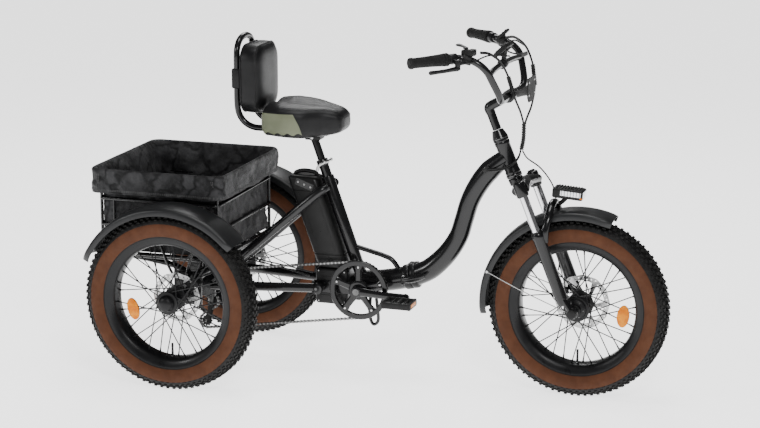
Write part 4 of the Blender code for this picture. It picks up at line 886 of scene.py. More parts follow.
def rear_subframe():
    shape = Shape("frame_sub", PAINT)
    cross = (-0.56, 0.346)
    axle = Vector((REAR_AXLES[1].x, 0, AXLE_Z))
    shape.rod((cross[0], -0.238, cross[1]), (cross[0], 0.238, cross[1]), 0.0158, sides=36, round_edge=0.001)
    for side in (-1, 1):
        upper = [(-0.19, side * 0.0375, 0.62), (-0.218, side * 0.06, 0.598), (-0.327, side * 0.0815, 0.503),
                 (-0.436, side * 0.103, 0.407), (-0.556, side * 0.125, 0.306)]
        shape.bend(upper, 8, 0.0139, 28)
        shape.tube([(-0.214, side * 0.0625, 0.29), (-0.56, side * 0.125, 0.286)], 0.0148, 32)
        shape.rod((-0.216, side * 0.0452, 0.29), (-0.216, side * 0.078, 0.29), 0.0188, sides=36,
                  round_edge=0.002)
        for y in (0.125, 0.235):
            shape.block((-0.593, side * y, 0.304), (0.094, 0.0098, 0.108), 0.002)
            shape.rod(axle + Y_AXIS * (side * y - 0.01), axle + Y_AXIS * (side * y + 0.01), 0.0208, sides=36,
                      round_edge=0.0015)
        shape.tube([(-0.515, side * 0.17, 0.38), (-0.87, side * 0.17, 0.38)], 0.0096, 22)
        strut = [(-0.63, side * 0.125, 0.32), (-0.68, side * 0.15, 0.35), (-0.76, side * 0.16, 0.367),
                 (-0.835, side * 0.17, 0.38)]
        shape.bend(strut, 8, 0.0096, 22)
        shape.tube([(cross[0], side * 0.17, cross[1]), (cross[0], side * 0.17, 0.38)], 0.0096, 22)
        stay = ((0.045, 0.235), (0.085, 0.264), (0.18, 0.265), (0.302, 0.265))
        for angle in FENDER_STAYS:
            shape.tube(curve_through([REAR_AXLES[side] + radial(math.radians(angle)) * reach
                                      + Y_AXIS * side * (y - HALF_TRACK) for reach, y in stay], 6), 0.0044, 12)
        shape.paint(STEEL)
        for angle in (35, 145, 215, 325):
            bolt = axle + Y_AXIS * side * 0.2402 + radial(math.radians(angle)) * 0.03
            shape.rod(bolt, bolt + Y_AXIS * side * 0.0022, 0.0042, sides=6, round_edge=0.0005)
        pivot = Vector((-0.216, side * 0.0782, 0.29))
        shape.paint(BLACK)
        shape.rod(pivot, pivot + Y_AXIS * side * 0.003, 0.011, 0.0095, 24, 0.001)
        shape.paint(DARK_STEEL)
        shape.rod(pivot + Y_AXIS * side * 0.0028, pivot + Y_AXIS * side * 0.0042, 0.005, sides=6)
        shape.paint(PAINT)
    shape.paint(CABLE)
    shared = ((-0.548, 0.238, 0.364), (-0.543, 0.22, 0.368), (-0.54, 0.15, 0.3665),
              (-0.538, 0.06, 0.366), (-0.46, 0.015, 0.35))
    for side, ends in ((-1, [(-0.34, -0.01, 0.33), (-0.26, -0.02, 0.315)]),
                       (1, [(-0.34, 0.01, 0.333), (-0.26, 0.015, 0.318)])):
        shape.tube(curve_through([(x, side * y, z) for x, y, z in shared] + ends, 8), 0.0024, 10)
    shape.build("rear_frame", "frame_paint", ("rear_subframe",))


def hinge_latch():
    shape = Shape("fold_latch", PAINT)
    shape.rod((0.07, -0.056, 0.325), (0.07, -0.056, 0.351), 0.0076, sides=28, round_edge=0.001)
    route = curve_through([(0.0715, -0.056, 0.338), (0.09, -0.057, 0.341), (0.118, -0.057, 0.349),
                           (0.14, -0.054, 0.358)], 8)
    shape.tube(route, 0.0058, 24, [0.9 + 0.35 * math.sin(math.pi * i / (len(route) - 1)) for i in range(len(route))],
               1.6)
    shape.paint(STEEL)
    shape.rod((0.07, -0.056, 0.351), (0.07, -0.056, 0.353), 0.005, 0.0042, 6, 0.0005)
    shape.rod((0.07, -0.056, 0.323), (0.07, -0.056, 0.325), 0.005, 0.0042, 6, 0.0005)
    shape.build("hinge_latch", "black_plastic", ("hinge_latch",))


# ---------------------------------------------------------------- battery and electrics
def tube_x(z):
    """Where the leaning seat tube's axis is at a height."""
    return SEAT_TOP.x + (SEAT_TOP.z - z) * SEAT_SLOPE


def leaning_ring(z, inset):
    """The battery's outline at a height, behind the leaning seat tube."""
    x = tube_x(z)
    return [(px, py, z) for px, py in rounded(x - 0.1278 + inset, x - 0.0245 - inset, inset - 0.0398, 0.0398 - inset,
                                              0.016, 6)]


def battery():
    shape = Shape("battery_pack", PACK)
    levels = [(0.3525, 0.006), (0.3545, 0.0025), (0.359, 0.0005), (0.395, 0.0), (0.3965, 0.0018), (0.3985, 0.0018),
              (0.4, 0.0), (0.6, 0.0), (0.6015, 0.0018), (0.6035, 0.0018), (0.605, 0.0), (0.638, 0.0005),
              (0.643, 0.003), (0.6465, 0.0075), (0.6475, 0.013)]
    shape.loft([leaning_ring(z, inset) for z, inset in levels])
    for side in (-1, 1):
        for back, width in ((0.044, 0.005), (0.104, 0.004)):
            shape.loft([[(tube_x(z) - back - dx, side * y, z)
                         for dx, y in ((0, 0.0392), (width, 0.0392), (width, 0.0404), (0, 0.0404))]
                        for z in (0.41, 0.592)])
    shape.paint(GREY)
    for side in (-1, 1):
        x = tube_x(0.622) - 0.074
        shape.block((x, side * 0.0398, 0.622), (0.062, 0.0016, 0.022), 0.0007, (0, 19.8, 0))
        shape.paint(STEEL)
        for k in (-1, 0, 1):
            bolt = Vector((x + k * 0.021, side * 0.0402, 0.622 - k * 0.0076))
            shape.rod(bolt, bolt + Y_AXIS * side * 0.0018, 0.0036, 0.003, 16, 0.0005)
        shape.paint(GREY)
    shape.paint(CABLE)
    x = tube_x(0.38) - 0.074
    shape.rod((x, -0.0396, 0.378), (x, -0.0412, 0.378), 0.0085, 0.0075, 28, 0.0006)
    shape.paint(PACK)
    top = [(SEAT_TOP.x - 0.04, 0, 0.645), (SEAT_TOP.x - 0.05, 0, 0.656), (SEAT_TOP.x - 0.085, 0, 0.66),
           (SEAT_TOP.x - 0.112, 0, 0.653), (SEAT_TOP.x - 0.118, 0, 0.644)]
    shape.bend(top, 6, 0.005, 16, flat=1.4)
    shape.build("battery", "black_plastic", ("battery",))


def controller():
    low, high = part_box("controller_box")
    middle, size = (low + high) / 2, high - low
    shape = Shape("controller_case", PACK)
    shape.block(middle, size * 0.995, 0.008, segments=4)
    for side in (-1, 1):
        for k in range(6):
            z = low.z + size.z * (0.24 + 0.105 * k)
            shape.block((middle.x, side * (size.y / 2 - 0.0006), z), (size.x * 0.66, 0.0024, 0.004), 0.0008)
    shape.paint(STEEL)
    for side in (-1, 1):
        for dx in (-1, 1):
            for dz in (-1, 1):
                bolt = middle + Vector((dx * size.x * 0.4, side * size.y * 0.497, dz * size.z * 0.42))
                shape.rod(bolt, bolt + Y_AXIS * side * 0.001, 0.0026, 0.002, 12)
    shape.build("rear_frame", "black_plastic", ("controller_box",))


# ---------------------------------------------------------------- drive train
def arc_points(centre, radius, sign, start, end, steps):
    while sign * (end - start) < 0:
        end += sign * 2 * math.pi
    return [(centre[0] + radius * math.cos(start + (end - start) * k / steps),
             centre[1] + radius * math.sin(start + (end - start) * k / steps)) for k in range(steps + 1)]


def belt_route(wheels):
    """A closed route round wheels given as (centre, radius, sign of travel, arc steps)."""
    tangents = []
    for i, (centre, radius, sign, _) in enumerate(wheels):
        other, other_radius, other_sign, _ = wheels[(i + 1) % len(wheels)]
        dx, dz = other[0] - centre[0], other[1] - centre[1]
        reach = (sign * radius - other_sign * other_radius) / math.hypot(dx, dz)
        tangents.append(math.atan2(dz, dx) - math.acos(reach))
    route = []
    for i, (centre, radius, sign, steps) in enumerate(wheels):
        turn = 0 if sign > 0 else math.pi
        route += arc_points(centre, radius, sign, tangents[i - 1] + turn, tangents[i] + turn, steps)
    return route


CHAINRING_R = 0.093
RING_TEETH = 46
CHAIN_PITCH = 0.0127
CRANK_LENGTH = 0.165
CRANK_DROP = math.radians(2)
JOCKEY_R = 0.02
JOCKEYS = ((-0.586, 0.214), (-0.604, 0.146))


def chain():
    """Every link of the chain: two side plates and a roller, wide and narrow in turn."""
    axle = REAR_AXLES[-1]
    wheels_in_turn = [((CRANK.x, CRANK.z), CHAINRING_R, 1, 60), ((axle.x, axle.z), 0.0283, 1, 24),
                      (JOCKEYS[0], JOCKEY_R + 0.0042, -1, 20), (JOCKEYS[1], JOCKEY_R + 0.0042, 1, 20)]
    route = [Vector((x, CHAIN_Y, z)) for x, z in belt_route(wheels_in_turn)]
    route.append(route[0])
    lengths = [0.0]
    for a, b in zip(route, route[1:]):
        lengths.append(lengths[-1] + (b - a).length)
    count = 2 * round(lengths[-1] / CHAIN_PITCH / 2)
    pitch = lengths[-1] / count

    def at(distance):
        distance %= lengths[-1]
        i = max(k for k in range(len(lengths) - 1) if lengths[k] <= distance)
        return route[i].lerp(route[i + 1], (distance - lengths[i]) / max(lengths[i + 1] - lengths[i], 1e-9))

    shape = Shape("chain_links", DARK_STEEL)
    for k in range(count):
        a, b = at(k * pitch), at((k + 1) * pitch)
        along = (b - a).normalized()
        up = along.cross(Y_AXIS)
        gap = 0.0034 if k % 2 else 0.0024
        for side in (-1, 1):
            rings = []
            for depth in (0.0, 0.0009):
                y = Y_AXIS * side * (gap + depth)
                ring = []
                for end, start in ((b, -90), (a, 90)):
                    for i in range(5):
                        t = math.radians(start + 45 * i)
                        ring.append(end + y + along * math.cos(t) * 0.0042 + up * math.sin(t) * 0.0042)
                    ring.append((a + b) / 2 + y + up * math.copysign(0.0024, -start))
                rings.append(ring)
            shape.loft(rings)
        shape.paint(CHAIN_STEEL)
        shape.rod(a - Y_AXIS * 0.0046, a + Y_AXIS * 0.0046, 0.0026, sides=8)
        shape.rod(a - Y_AXIS * 0.0022, a + Y_AXIS * 0.0022, 0.0036, sides=10)
        shape.paint(DARK_STEEL)
    shape.build("rear_frame", "bare_steel", ("chain",))


def toothed_ring(shape, centre, outer, root, inner, teeth, half_t):
    """A sprocket: a ring whose outer edge has rounded teeth."""
    rings = []
    for t in around(teeth * 6):
        wave = 0.5 + 0.5 * math.cos(t * teeth)
        r = root + (outer - root) * wave ** 1.6
        rings.append([centre + radial(t) * reach + Y_AXIS * half_t * share
                      for reach, share in ((inner, -1), (r, -0.6), (r, 0.6), (inner, 1))])
    shape.loft(rings, closed=True)


def chainset():
    shape = Shape("chainring_set", DARK_STEEL)
    centre = Vector((CRANK.x, CHAIN_Y, CRANK.z))
    toothed_ring(shape, centre, CHAINRING_R + 0.0024, CHAINRING_R - 0.0042, 0.08, RING_TEETH, 0.0011)
    shape.paint(PAINT)
    guard = [(0.0805, -0.0062), (0.082, -0.005), (0.095, -0.005), (0.0965, -0.006), (0.097, -0.008),
             (0.0955, -0.0098), (0.089, -0.0106), (0.082, -0.0098), (0.0805, -0.008)]
    shape.lathe(guard, centre, Y_AXIS, 96, closed=True)
    for k in range(5):
        across = radial(math.radians(72 * k + 18))
        root = centre - Y_AXIS * 0.0072 + across * 0.024
        tip = centre - Y_AXIS * 0.0062 + across * 0.088
        bar = Vector((-across.z, 0, across.x))
        widths = ((0.0, 0.0125), (0.3, 0.0108), (0.62, 0.0104), (0.84, 0.0135), (1.0, 0.0195))
        shape.loft([[root.lerp(tip, t) + bar * w * u + Y_AXIS * v for u, v in ((-1, 0.001), (-0.6, -0.0032),
                                                                               (0.6, -0.0032), (1, 0.001))]
                    for t, w in widths])
        shape.paint(STEEL)
        bolt = centre + across * 0.0765 - Y_AXIS * 0.0088
        shape.rod(bolt, bolt - Y_AXIS * 0.003, 0.0044, 0.0038, 18, 0.0006)
        shape.paint(PAINT)
    shape.lathe([(0.0205, -0.002), (0.031, -0.0026), (0.032, -0.004), (0.0315, -0.0115), (0.03, -0.0122),
                 (0.0205, -0.0122)], centre, Y_AXIS, 44, closed=True)
    shape.build("crankset", "frame_paint", ("chainring",), centre)


def on_crank(y):
    """A point on the cranks' axis."""
    return Vector((CRANK.x, y, CRANK.z))


def cranks():
    for label, side in SIDES:
        out = radial(-CRANK_DROP if side < 0 else math.pi - CRANK_DROP)
        root = on_crank(side * 0.083)
        tip = root + out * CRANK_LENGTH + Y_AXIS * side * 0.011
        shape = Shape("crank_arm_" + label, PAINT)
        path = [root, root + out * 0.035 + Y_AXIS * side * 0.004, root + out * 0.09 + Y_AXIS * side * 0.009, tip]
        shape.bend(path, 8, 0.0096, 28, spread([1.25, 1.0, 0.92, 1.05], 8), 1.35)
        shape.rod(on_crank(side * 0.0735), on_crank(side * 0.095), 0.0182, 0.017, 36, 0.002)
        shape.rod(tip - Y_AXIS * side * 0.0095, tip + Y_AXIS * side * 0.008, 0.0132, sides=32, round_edge=0.002)
        shape.paint(DARK_STEEL)
        shape.rod(tip + Y_AXIS * side * 0.008, tip + Y_AXIS * side * 0.069, 0.0042, sides=16)
        shape.rod(tip + Y_AXIS * side * 0.008, tip + Y_AXIS * side * 0.0115, 0.0078, sides=6, round_edge=0.0005)
        shape.rod(on_crank(side * 0.095), on_crank(side * 0.0962), 0.0105, sides=24)
        shape.rod(on_crank(side * 0.096), on_crank(side * 0.0975), 0.005, sides=6)
        if side < 0:
            shape.rod(on_crank(-0.0735), on_crank(0.0695), 0.0084, sides=20)
            shape.paint(PAINT)
            shape.rod(on_crank(-0.056), on_crank(-0.075), 0.0198, sides=36, round_edge=0.001)
        shape.build("crankset", "frame_paint", ("crank_" + label,))


def pedals():
    for label, _ in SIDES:
        middle = middle_of("pedal_" + label)
        shape = Shape("pedal_body_" + label, PLASTIC)
        shape.rod(middle - Y_AXIS * 0.0395, middle + Y_AXIS * 0.0395, 0.0095, 0.0085, 24, 0.002)
        for dy in (-1, 1):
            shape.block(middle + Vector((0, dy * 0.0355, 0)), (0.088, 0.0085, 0.02), 0.003)
        for dx in (-1, 1):
            shape.block(middle + Vector((dx * 0.0425, 0, 0)), (0.009, 0.078, 0.0205), 0.003)
            shape.block(middle + Vector((dx * 0.021, 0, 0)), (0.006, 0.07, 0.012), 0.002)
            for k in range(-4, 5):
                for up in (-1, 1):
                    shape.block(middle + Vector((dx * 0.0425, k * 0.0085, up * 0.0102)), (0.0075, 0.0032, 0.0022),
                                0.0006)
        shape.paint(AMBER)
        for dx in (-1, 1):
            shape.block(middle + Vector((dx * 0.0466, 0, 0)), (0.0014, 0.048, 0.011), 0.0005)
        shape.build("pedal_" + label, "black_plastic", ("pedal_" + label,))


def cassette():
    shape = Shape("sprocket_stack", STEEL)
    axle = Vector((REAR_AXLES[-1].x, CHAIN_Y, AXLE_Z))
    for k, (outer, teeth) in enumerate(((0.03, 14), (0.0325, 16), (0.036, 18), (0.04, 20))):
        y = 0.0 if k == 0 else 0.0048 + 0.0034 * k
        toothed_ring(shape, axle + Y_AXIS * y, outer, outer - 0.0048, 0.015, teeth, 0.0009)
    shape.paint(DARK_STEEL)
    shape.lathe([(0.0104, -0.0195), (0.017, -0.0195), (0.0185, -0.0175), (0.02, -0.006), (0.02, 0.014),
                 (0.0104, 0.0148)], axle, Y_AXIS, 40, closed=True)
    shape.build("cassette", "bare_steel", ("cassette",), axle)


def derailleur():
    up, low = (Vector((x, CHAIN_Y, z)) for x, z in JOCKEYS)
    shape = Shape("rear_derailleur", PLASTIC)
    for y in (-0.008, 0.008):
        side = Y_AXIS * y
        shape.tube([up + side + Vector((0.002, 0, 0.01)), up + side, (up + low) / 2 + side + Vector((0.003, 0, 0)),
                    low + side, low + side - Z_AXIS * 0.01], 0.011, 24, [0.55, 1.0, 0.62, 1.0, 0.6], 0.13)
    for centre in (up, low):
        toothed_ring(shape, centre, JOCKEY_R, JOCKEY_R - 0.0035, 0.005, 11, 0.0018)
        shape.paint(STEEL).rod(centre - Y_AXIS * 0.0108, centre + Y_AXIS * 0.0108, 0.0042, sides=16)
        shape.paint(PLASTIC)
    knuckle = up - Y_AXIS * 0.0115
    shape.bend([knuckle, Vector((-0.578, -0.09, 0.236)), Vector((-0.59, -0.106, 0.252))], 6, 0.0085,
               20, flat=1.2)
    shape.rod((-0.59, -0.098, 0.256), (-0.59, -0.1195, 0.256), 0.0105, sides=28, round_edge=0.0015)
    shape.paint(STEEL)
    shape.rod((-0.59, -0.096, 0.256), (-0.59, -0.0985, 0.256), 0.0065, sides=6)
    shape.build("rear_frame", "black_plastic", ("derailleur",))


def caliper(name, node, body, disc_node, mount_y, angle, reach, arm):
    """A two-part disc caliper that straddles its rotor, with bolts, a bridge over the rim and an adapter."""
    shape = Shape(name, BLACK)
    disc = middle_of(disc_node)
    outward, along = radial(math.radians(angle)), radial(math.radians(angle + 90))
    middle = disc + outward * reach
    out = math.copysign(1, disc.y - mount_y)
    for near, far in ((0.0028, 0.011), (-0.0028, -0.0215)):
        shape.block(middle + Y_AXIS * out * (near + far) / 2, (0.039, abs(far - near), 0.036), 0.003,
                    (0, -angle, 0), 4)
    shape.block(middle + outward * 0.0172 - Y_AXIS * out * 0.0052, (0.0062, 0.03, 0.03), 0.002, (0, -angle, 0))
    root = disc.y - out * 0.018
    foot = Vector((middle.x + arm / 2, (root + mount_y) / 2, middle.z))
    shape.block(foot, (0.022 + arm, abs(root - mount_y), 0.022), 0.0025)
    shape.paint(STEEL)
    for k in (-1, 1):
        bolt = middle + along * k * 0.0115 + outward * 0.004 + Y_AXIS * out * 0.0105
        shape.rod(bolt, bolt + Y_AXIS * out * 0.003, 0.0042, 0.0036, 16, 0.0006)
    shape.build(body, "black_plastic", (node,))


def calipers():
    for label, side in SIDES:
        caliper("caliper_rear_" + label, "rear_caliper_" + label, "rear_frame", "rear_rotor_" + label,
                side * 0.2404, 40, 0.074, 0.0)
    caliper("caliper_front", "front_caliper", "fork_lowers", "front_rotor", 0.086, 160, 0.08, 0.014)


# ---------------------------------------------------------------- fork and lamp
def fork():
    shape = Shape("fork_crown_cast", PAINT)
    shape.rod(steer_point(0.064), steer_point(0.086), 0.0238, 0.0225, 44, 0.002)
    rings = []
    for k in range(17):
        y = -0.078 + 0.156 * k / 16
        droop = 0.01 * (abs(y) / 0.078) ** 2
        rings.append([steer_point(0.088 + droop + 0.019 * math.sin(a), 0.018 + 0.03 * math.cos(a)
                                  + 0.01 * abs(y) / 0.078, y) for a in around(28)])
    shape.loft(rings)
    for side in (-1, 1):
        centre = leg_point(0, side)
        shape.lathe([(0, -0.072), (0.015, -0.072), (0.0185, -0.0745), (0.0195, -0.078), (0.0195, -0.116),
                     (0.018, -0.1198), (0.0, -0.1198)], centre, STEER_UP, 40)
        shape.paint(PLASTIC)
        shape.rod(leg_point(0.0722, side), leg_point(0.067, side), 0.013, 0.0115, 28, 0.001)
        shape.paint(PAINT)
    shape.build("steering", "frame_paint", ("fork_crown",))
    for label, side in SIDES:
        shape = Shape("fork_tube_" + label, CHROME)
        shape.rod(leg_point(0.12, side), leg_point(0.384, side), 0.0139, sides=40)
        shape.build("steering", "chrome_tube", ("stanchion_" + label,))
    lowers = Shape("fork_legs", PAINT)
    arch = [steer_point(0.275, LEG_OFFSET + 0.012, -LEG_Y), steer_point(0.238, 0.058, -0.082),
            steer_point(0.206, 0.077, -0.064), steer_point(0.182, 0.087, -0.034), steer_point(0.174, 0.09, 0.0)]
    arch += [Vector((p.x, -p.y, p.z)) for p in reversed(arch[:-1])]
    lowers.bend(arch, 8, 0.0122, 28, flat=0.72)
    for side in (-1, 1):
        centre = leg_point(0, side)
        lowers.lathe([(0.0148, -0.24), (0.019, -0.2405), (0.0212, -0.244), (0.0212, -0.256), (0.0196, -0.26),
                      (0.0196, -0.455), (0.018, -0.47), (0.014, -0.48), (0, -0.482)], centre, STEER_UP, 44)
        lowers.paint(CABLE)
        lowers.lathe([(0.0141, -0.235), (0.018, -0.2358), (0.0192, -0.2385), (0.0192, -0.2405), (0.0141, -0.2405)],
                     centre, STEER_UP, 40, closed=True)
        lowers.paint(PAINT)
        drop = [steer_point(down, ahead, side * LEG_Y)
                for down, ahead in ((0.44, 0.033), (0.48, 0.04), (0.508, 0.046), (0.524, 0.047))]
        lowers.bend(drop, 6, 0.0165, 24, spread([1.05, 1.05, 1.0, 0.85], 6), 0.62)
        axle = FRONT_AXLE + Y_AXIS * side * LEG_Y
        lowers.rod(axle - Y_AXIS * side * 0.01, axle + Y_AXIS * side * 0.01, 0.0175, sides=36, round_edge=0.0015)
        lowers.paint(PLASTIC)
        lowers.lathe([(0.0145, 0.01), (0.015, 0.013), (0.014, 0.0185), (0.01, 0.02), (0, 0.02)],
                     axle, Y_AXIS * side, 32)
        lowers.paint(PAINT)
    lowers.paint(DARK_STEEL)
    lowers.rod(FRONT_AXLE - Y_AXIS * 0.092, FRONT_AXLE + Y_AXIS * 0.092, 0.0058, sides=20)
    lowers.build("fork_lowers", "frame_paint", ("fork_lowers",))


LAMP_TILT = 4


def headlight():
    middle = Vector((0.59, 0, 0.647))
    lean = (0, LAMP_TILT, 0)
    turn = Matrix.Rotation(math.radians(LAMP_TILT), 3, "Y")

    def at(x, y, z):
        return middle + turn @ Vector((x, y, z))

    shape = Shape("headlamp", PLASTIC)
    shape.block(middle, (0.098, 0.059, 0.032), 0.007, lean, 4)
    for k in range(9):
        shape.block(at(-0.036 + 0.0088 * k, 0, 0.0165), (0.0034, 0.048, 0.004), 0.0012, lean)
    route = [(0.559, 0, 0.6105), (0.569, 0, 0.618), (0.586, 0, 0.636)]
    shape.bend(route, 8, 0.0068, 20)
    shape.paint(DARK_STEEL)
    shape.rod((0.587, -0.012, 0.633), (0.587, 0.012, 0.633), 0.0048, sides=20, round_edge=0.001)
    shape.paint(LENS)
    shape.block(at(0.0486, 0, 0.0), (0.003, 0.05, 0.023), 0.0012, lean)
    for side in (-1, 1):
        shape.block(at(0.01, side * 0.0294, 0.002), (0.064, 0.002, 0.015), 0.0009, lean)
    shape.paint(GREY)
    for side in (-1, 1):
        for k in range(7):
            shape.block(at(-0.018 + 0.0094 * k, side * 0.0302, 0.002), (0.002, 0.0016, 0.016), 0.0006, lean)
    shape.paint(AMBER)
    for side in (-1, 1):
        shape.block(at(0.044, side * 0.0298, -0.008), (0.006, 0.002, 0.005), 0.0009, lean)
    shape.build("fork_lowers", "black_plastic", ("headlight",))


# ---------------------------------------------------------------- handlebar and controls
BAR_HALF = [(0.398, 0.0, 0.942), (0.398, 0.085, 0.942), (0.4015, 0.128, 0.946), (0.402, 0.153, 0.968),
            (0.388, 0.18, 1.012), (0.3755, 0.195, 1.043), (0.352, 0.202, 1.066), (0.32, 0.204, 1.08),
            (0.2945, 0.2122, 1.0841)]
GRIP_IN = Vector((0.2665, 0.2405, 1.0832))
GRIP_END = Vector((0.177, 0.331, 1.08))


def bar_side(point, side):
    return Vector((point[0], side * point[1], point[2]))


def grip_axes(side):
    """The grip's inner end, the direction along it and the direction ahead of it."""
    inner = bar_side(GRIP_IN, side)
    along = (bar_side(GRIP_END, side) - inner).normalized()
    return inner, along, Vector((side * along.y, -side * along.x, 0)).normalized()


def handlebar():
    shape = Shape("bar", PAINT)
    bend = curve_through(BAR_HALF, 8) + [GRIP_END]
    shape.tube([bar_side(p, -1) for p in reversed(bend[1:])] + bend, 0.011, 28)
    cross = [(0.3795, -0.187, 1.032), (0.375, -0.11, 1.037), (0.3725, 0, 1.0385), (0.375, 0.11, 1.037),
             (0.3795, 0.187, 1.032)]
    shape.bend(cross, 8, 0.0094, 24)
    shape.build("steering", "frame_paint", ("handlebar",))


def grips():
    for label, side in SIDES:
        inner, along, _ = grip_axes(side)
        end = inner + along * 0.1313
        shape = Shape("grip_sleeve_" + label, GRIP)
        profile = [(0.0118, 0.0), (0.0185, 0.0005), (0.02, 0.0025), (0.02, 0.006), (0.018, 0.008),
                   (0.018, 0.0095), (0.0198, 0.011), (0.0198, 0.0145), (0.0178, 0.0165)]
        rows = 15
        for k in range(rows):
            h = 0.018 + 0.1 * k / rows
            swell = 0.0032 * (1 - k / rows) ** 2
            profile += [(0.015 + swell, h), (0.0158 + swell, h + 0.0014), (0.0158 + swell, h + 0.0046),
                        (0.015 + swell, h + 0.006)]
        profile += [(0.0156, 0.119), (0.0174, 0.1205), (0.0174, 0.127), (0.0164, 0.13), (0.012, 0.1312),
                    (0, 0.1314)]
        shape.lathe(profile, inner, along, 40)
        shape.paint(PLASTIC)
        shape.rod(end, end + along * 0.0006, 0.009, sides=28)
        shape.build("steering", "soft_rubber", ("grip_" + label,))


def brakes():
    for label, side in SIDES:
        inner, along, ahead = grip_axes(side)
        start = inner - along * 0.0285
        shape = Shape("brake_mount_" + label, BLACK)
        shape.rod(start, inner - along * 0.0015, 0.016, sides=36, round_edge=0.002)
        neck = start + along * 0.012
        head = neck + ahead * 0.031 - Z_AXIS * 0.01
        shape.bend([neck, neck + ahead * 0.018 - Z_AXIS * 0.006, head], 6, 0.0095, 22,
                   spread([1.1, 0.95, 0.95], 6), 0.85)
        shape.rod(head - Z_AXIS * 0.01, head + Z_AXIS * 0.01, 0.0088, sides=28, round_edge=0.0015)
        barrel = head - along * 0.006 + ahead * 0.002
        shape.rod(barrel, barrel - along * 0.02, 0.0058, 0.0046, 18, 0.001)
        shape.paint(STEEL)
        shape.rod(head + Z_AXIS * 0.01, head + Z_AXIS * 0.0116, 0.0042, sides=6, round_edge=0.0004)
        clamp = start + along * 0.013 - Z_AXIS * 0.015
        shape.rod(clamp, clamp - Z_AXIS * 0.003, 0.0036, 0.003, 16, 0.0005)
        shape.build("steering", "black_plastic", ("brake_perch_" + label,))
        pivot = Vector(JOINTS["brake_lever_" + label + "_pull"]["pos_m"])
        lever = Shape("brake_blade_" + label, BLACK)
        lever.rod(pivot - Z_AXIS * 0.0044, pivot + Z_AXIS * 0.0044, 0.0084, sides=28, round_edge=0.001)
        path = [pivot, pivot + along * 0.02 + ahead * 0.005, pivot + along * 0.045 + ahead * 0.013,
                pivot + along * 0.075 + ahead * 0.018, pivot + along * 0.104 + ahead * 0.0205]
        lever.bend(path, 8, 0.0052, 24, spread([1.15, 1.0, 0.85, 0.82, 0.95], 8), 1.35)
        lever.rod(path[-1] - along * 0.003, path[-1] + along * 0.004, 0.0062, 0.005, 20, 0.002)
        lever.build("brake_lever_" + label, "black_plastic", ("brake_lever_" + label,))


def shifter():
    shape = Shape("gear_shifter", PLASTIC)
    shape.rod((0.329, -0.203, 1.077), (0.303, -0.21, 1.083), 0.0158, sides=36, round_edge=0.0015)
    shape.block((0.32, -0.201, 1.1), (0.042, 0.03, 0.019), 0.006, (0, 0, -8), 5)
    shape.block((0.329, -0.188, 1.104), (0.02, 0.014, 0.012), 0.003, (0, 0, -20))
    shape.paint(GREY)
    shape.block((0.3205, -0.201, 1.1096), (0.024, 0.007, 0.0012), 0.0005, (0, 0, -8))
    shape.build("steering", "black_plastic", ("shifter",))
    pivot = Vector(JOINTS["shift_lever_push"]["pos_m"])
    lever = Shape("thumb_lever", BLACK)
    lever.rod(pivot, pivot + Z_AXIS * 0.005, 0.0085, 0.0078, 28, 0.001)
    path = [pivot + Vector((-out, out, up)) for out, up in ((0.002, 0.004), (0.012, 0.0052), (0.022, 0.0056),
                                                            (0.032, 0.0056), (0.037, 0.0052))]
    lever.bend(path, 8, 0.006, 24, spread([1.0, 1.15, 1.45, 1.55, 0.9], 8), 0.48)
    lever.build("shift_lever", "black_plastic", ("shift_lever",))


FACE_TILT = -43


def tilted(centre, x, y, z):
    return Vector(centre) + Matrix.Rotation(math.radians(FACE_TILT), 3, "Y") @ Vector((x, y, z))


def display():
    centre = (0.375, 0, 1.085)
    shape = Shape("display_unit", PLASTIC)
    shape.block(centre, (0.05, 0.085, 0.015), 0.005, (0, FACE_TILT, 0), 5)
    shape.block(tilted(centre, 0, 0, -0.0085), (0.03, 0.042, 0.008), 0.003, (0, FACE_TILT, 0))
    shape.rod((0.3745, 0, 1.046), tilted(centre, 0, 0, -0.006), 0.008, sides=28)
    shape.rod((0.3726, -0.016, 1.0385), (0.3726, 0.016, 1.0385), 0.0148, sides=36, round_edge=0.0015)
    shape.paint(GLASS)
    shape.block(tilted(centre, 0.002, 0.006, 0.0074), (0.037, 0.062, 0.0012), 0.0005, (0, FACE_TILT, 0))
    shape.paint(GREY)
    for k in (-1, 0, 1):
        shape.block(tilted(centre, 0.011 * k, -0.0345, 0.0077), (0.007, 0.008, 0.0016), 0.0007, (0, FACE_TILT, 0))
    shape.block((0.438, 0.012, 1.07), (0.017, 0.022, 0.013), 0.003, (0, -20, 0))
    shape.paint(PLASTIC)
    shape.bend([(0.43, 0.008, 1.07), (0.405, 0.004, 1.072), (0.388, 0, 1.078)], 6, 0.0026, 10)
    shape.build("steering", "black_plastic", ("display",))


def control_pad():
    centre = (0.32, 0.203, 1.101)
    shape = Shape("assist_pad", PLASTIC)
    shape.rod((0.329, 0.203, 1.077), (0.303, 0.21, 1.083), 0.0158, sides=36, round_edge=0.0015)
    shape.block((0.318, 0.203, 1.093), (0.016, 0.014, 0.015), 0.002)
    shape.block(centre, (0.042, 0.03, 0.0095), 0.004, (0, FACE_TILT, 0), 5)
    shape.paint(GREY)
    for k in (-1, 0, 1):
        button = tilted(centre, 0.012 * k, 0, 0.0046)
        shape.rod(button, tilted(centre, 0.012 * k, 0, 0.0064), 0.0042, 0.0036, 20, 0.0005)
    shape.build("steering", "black_plastic", ("control_pad",))


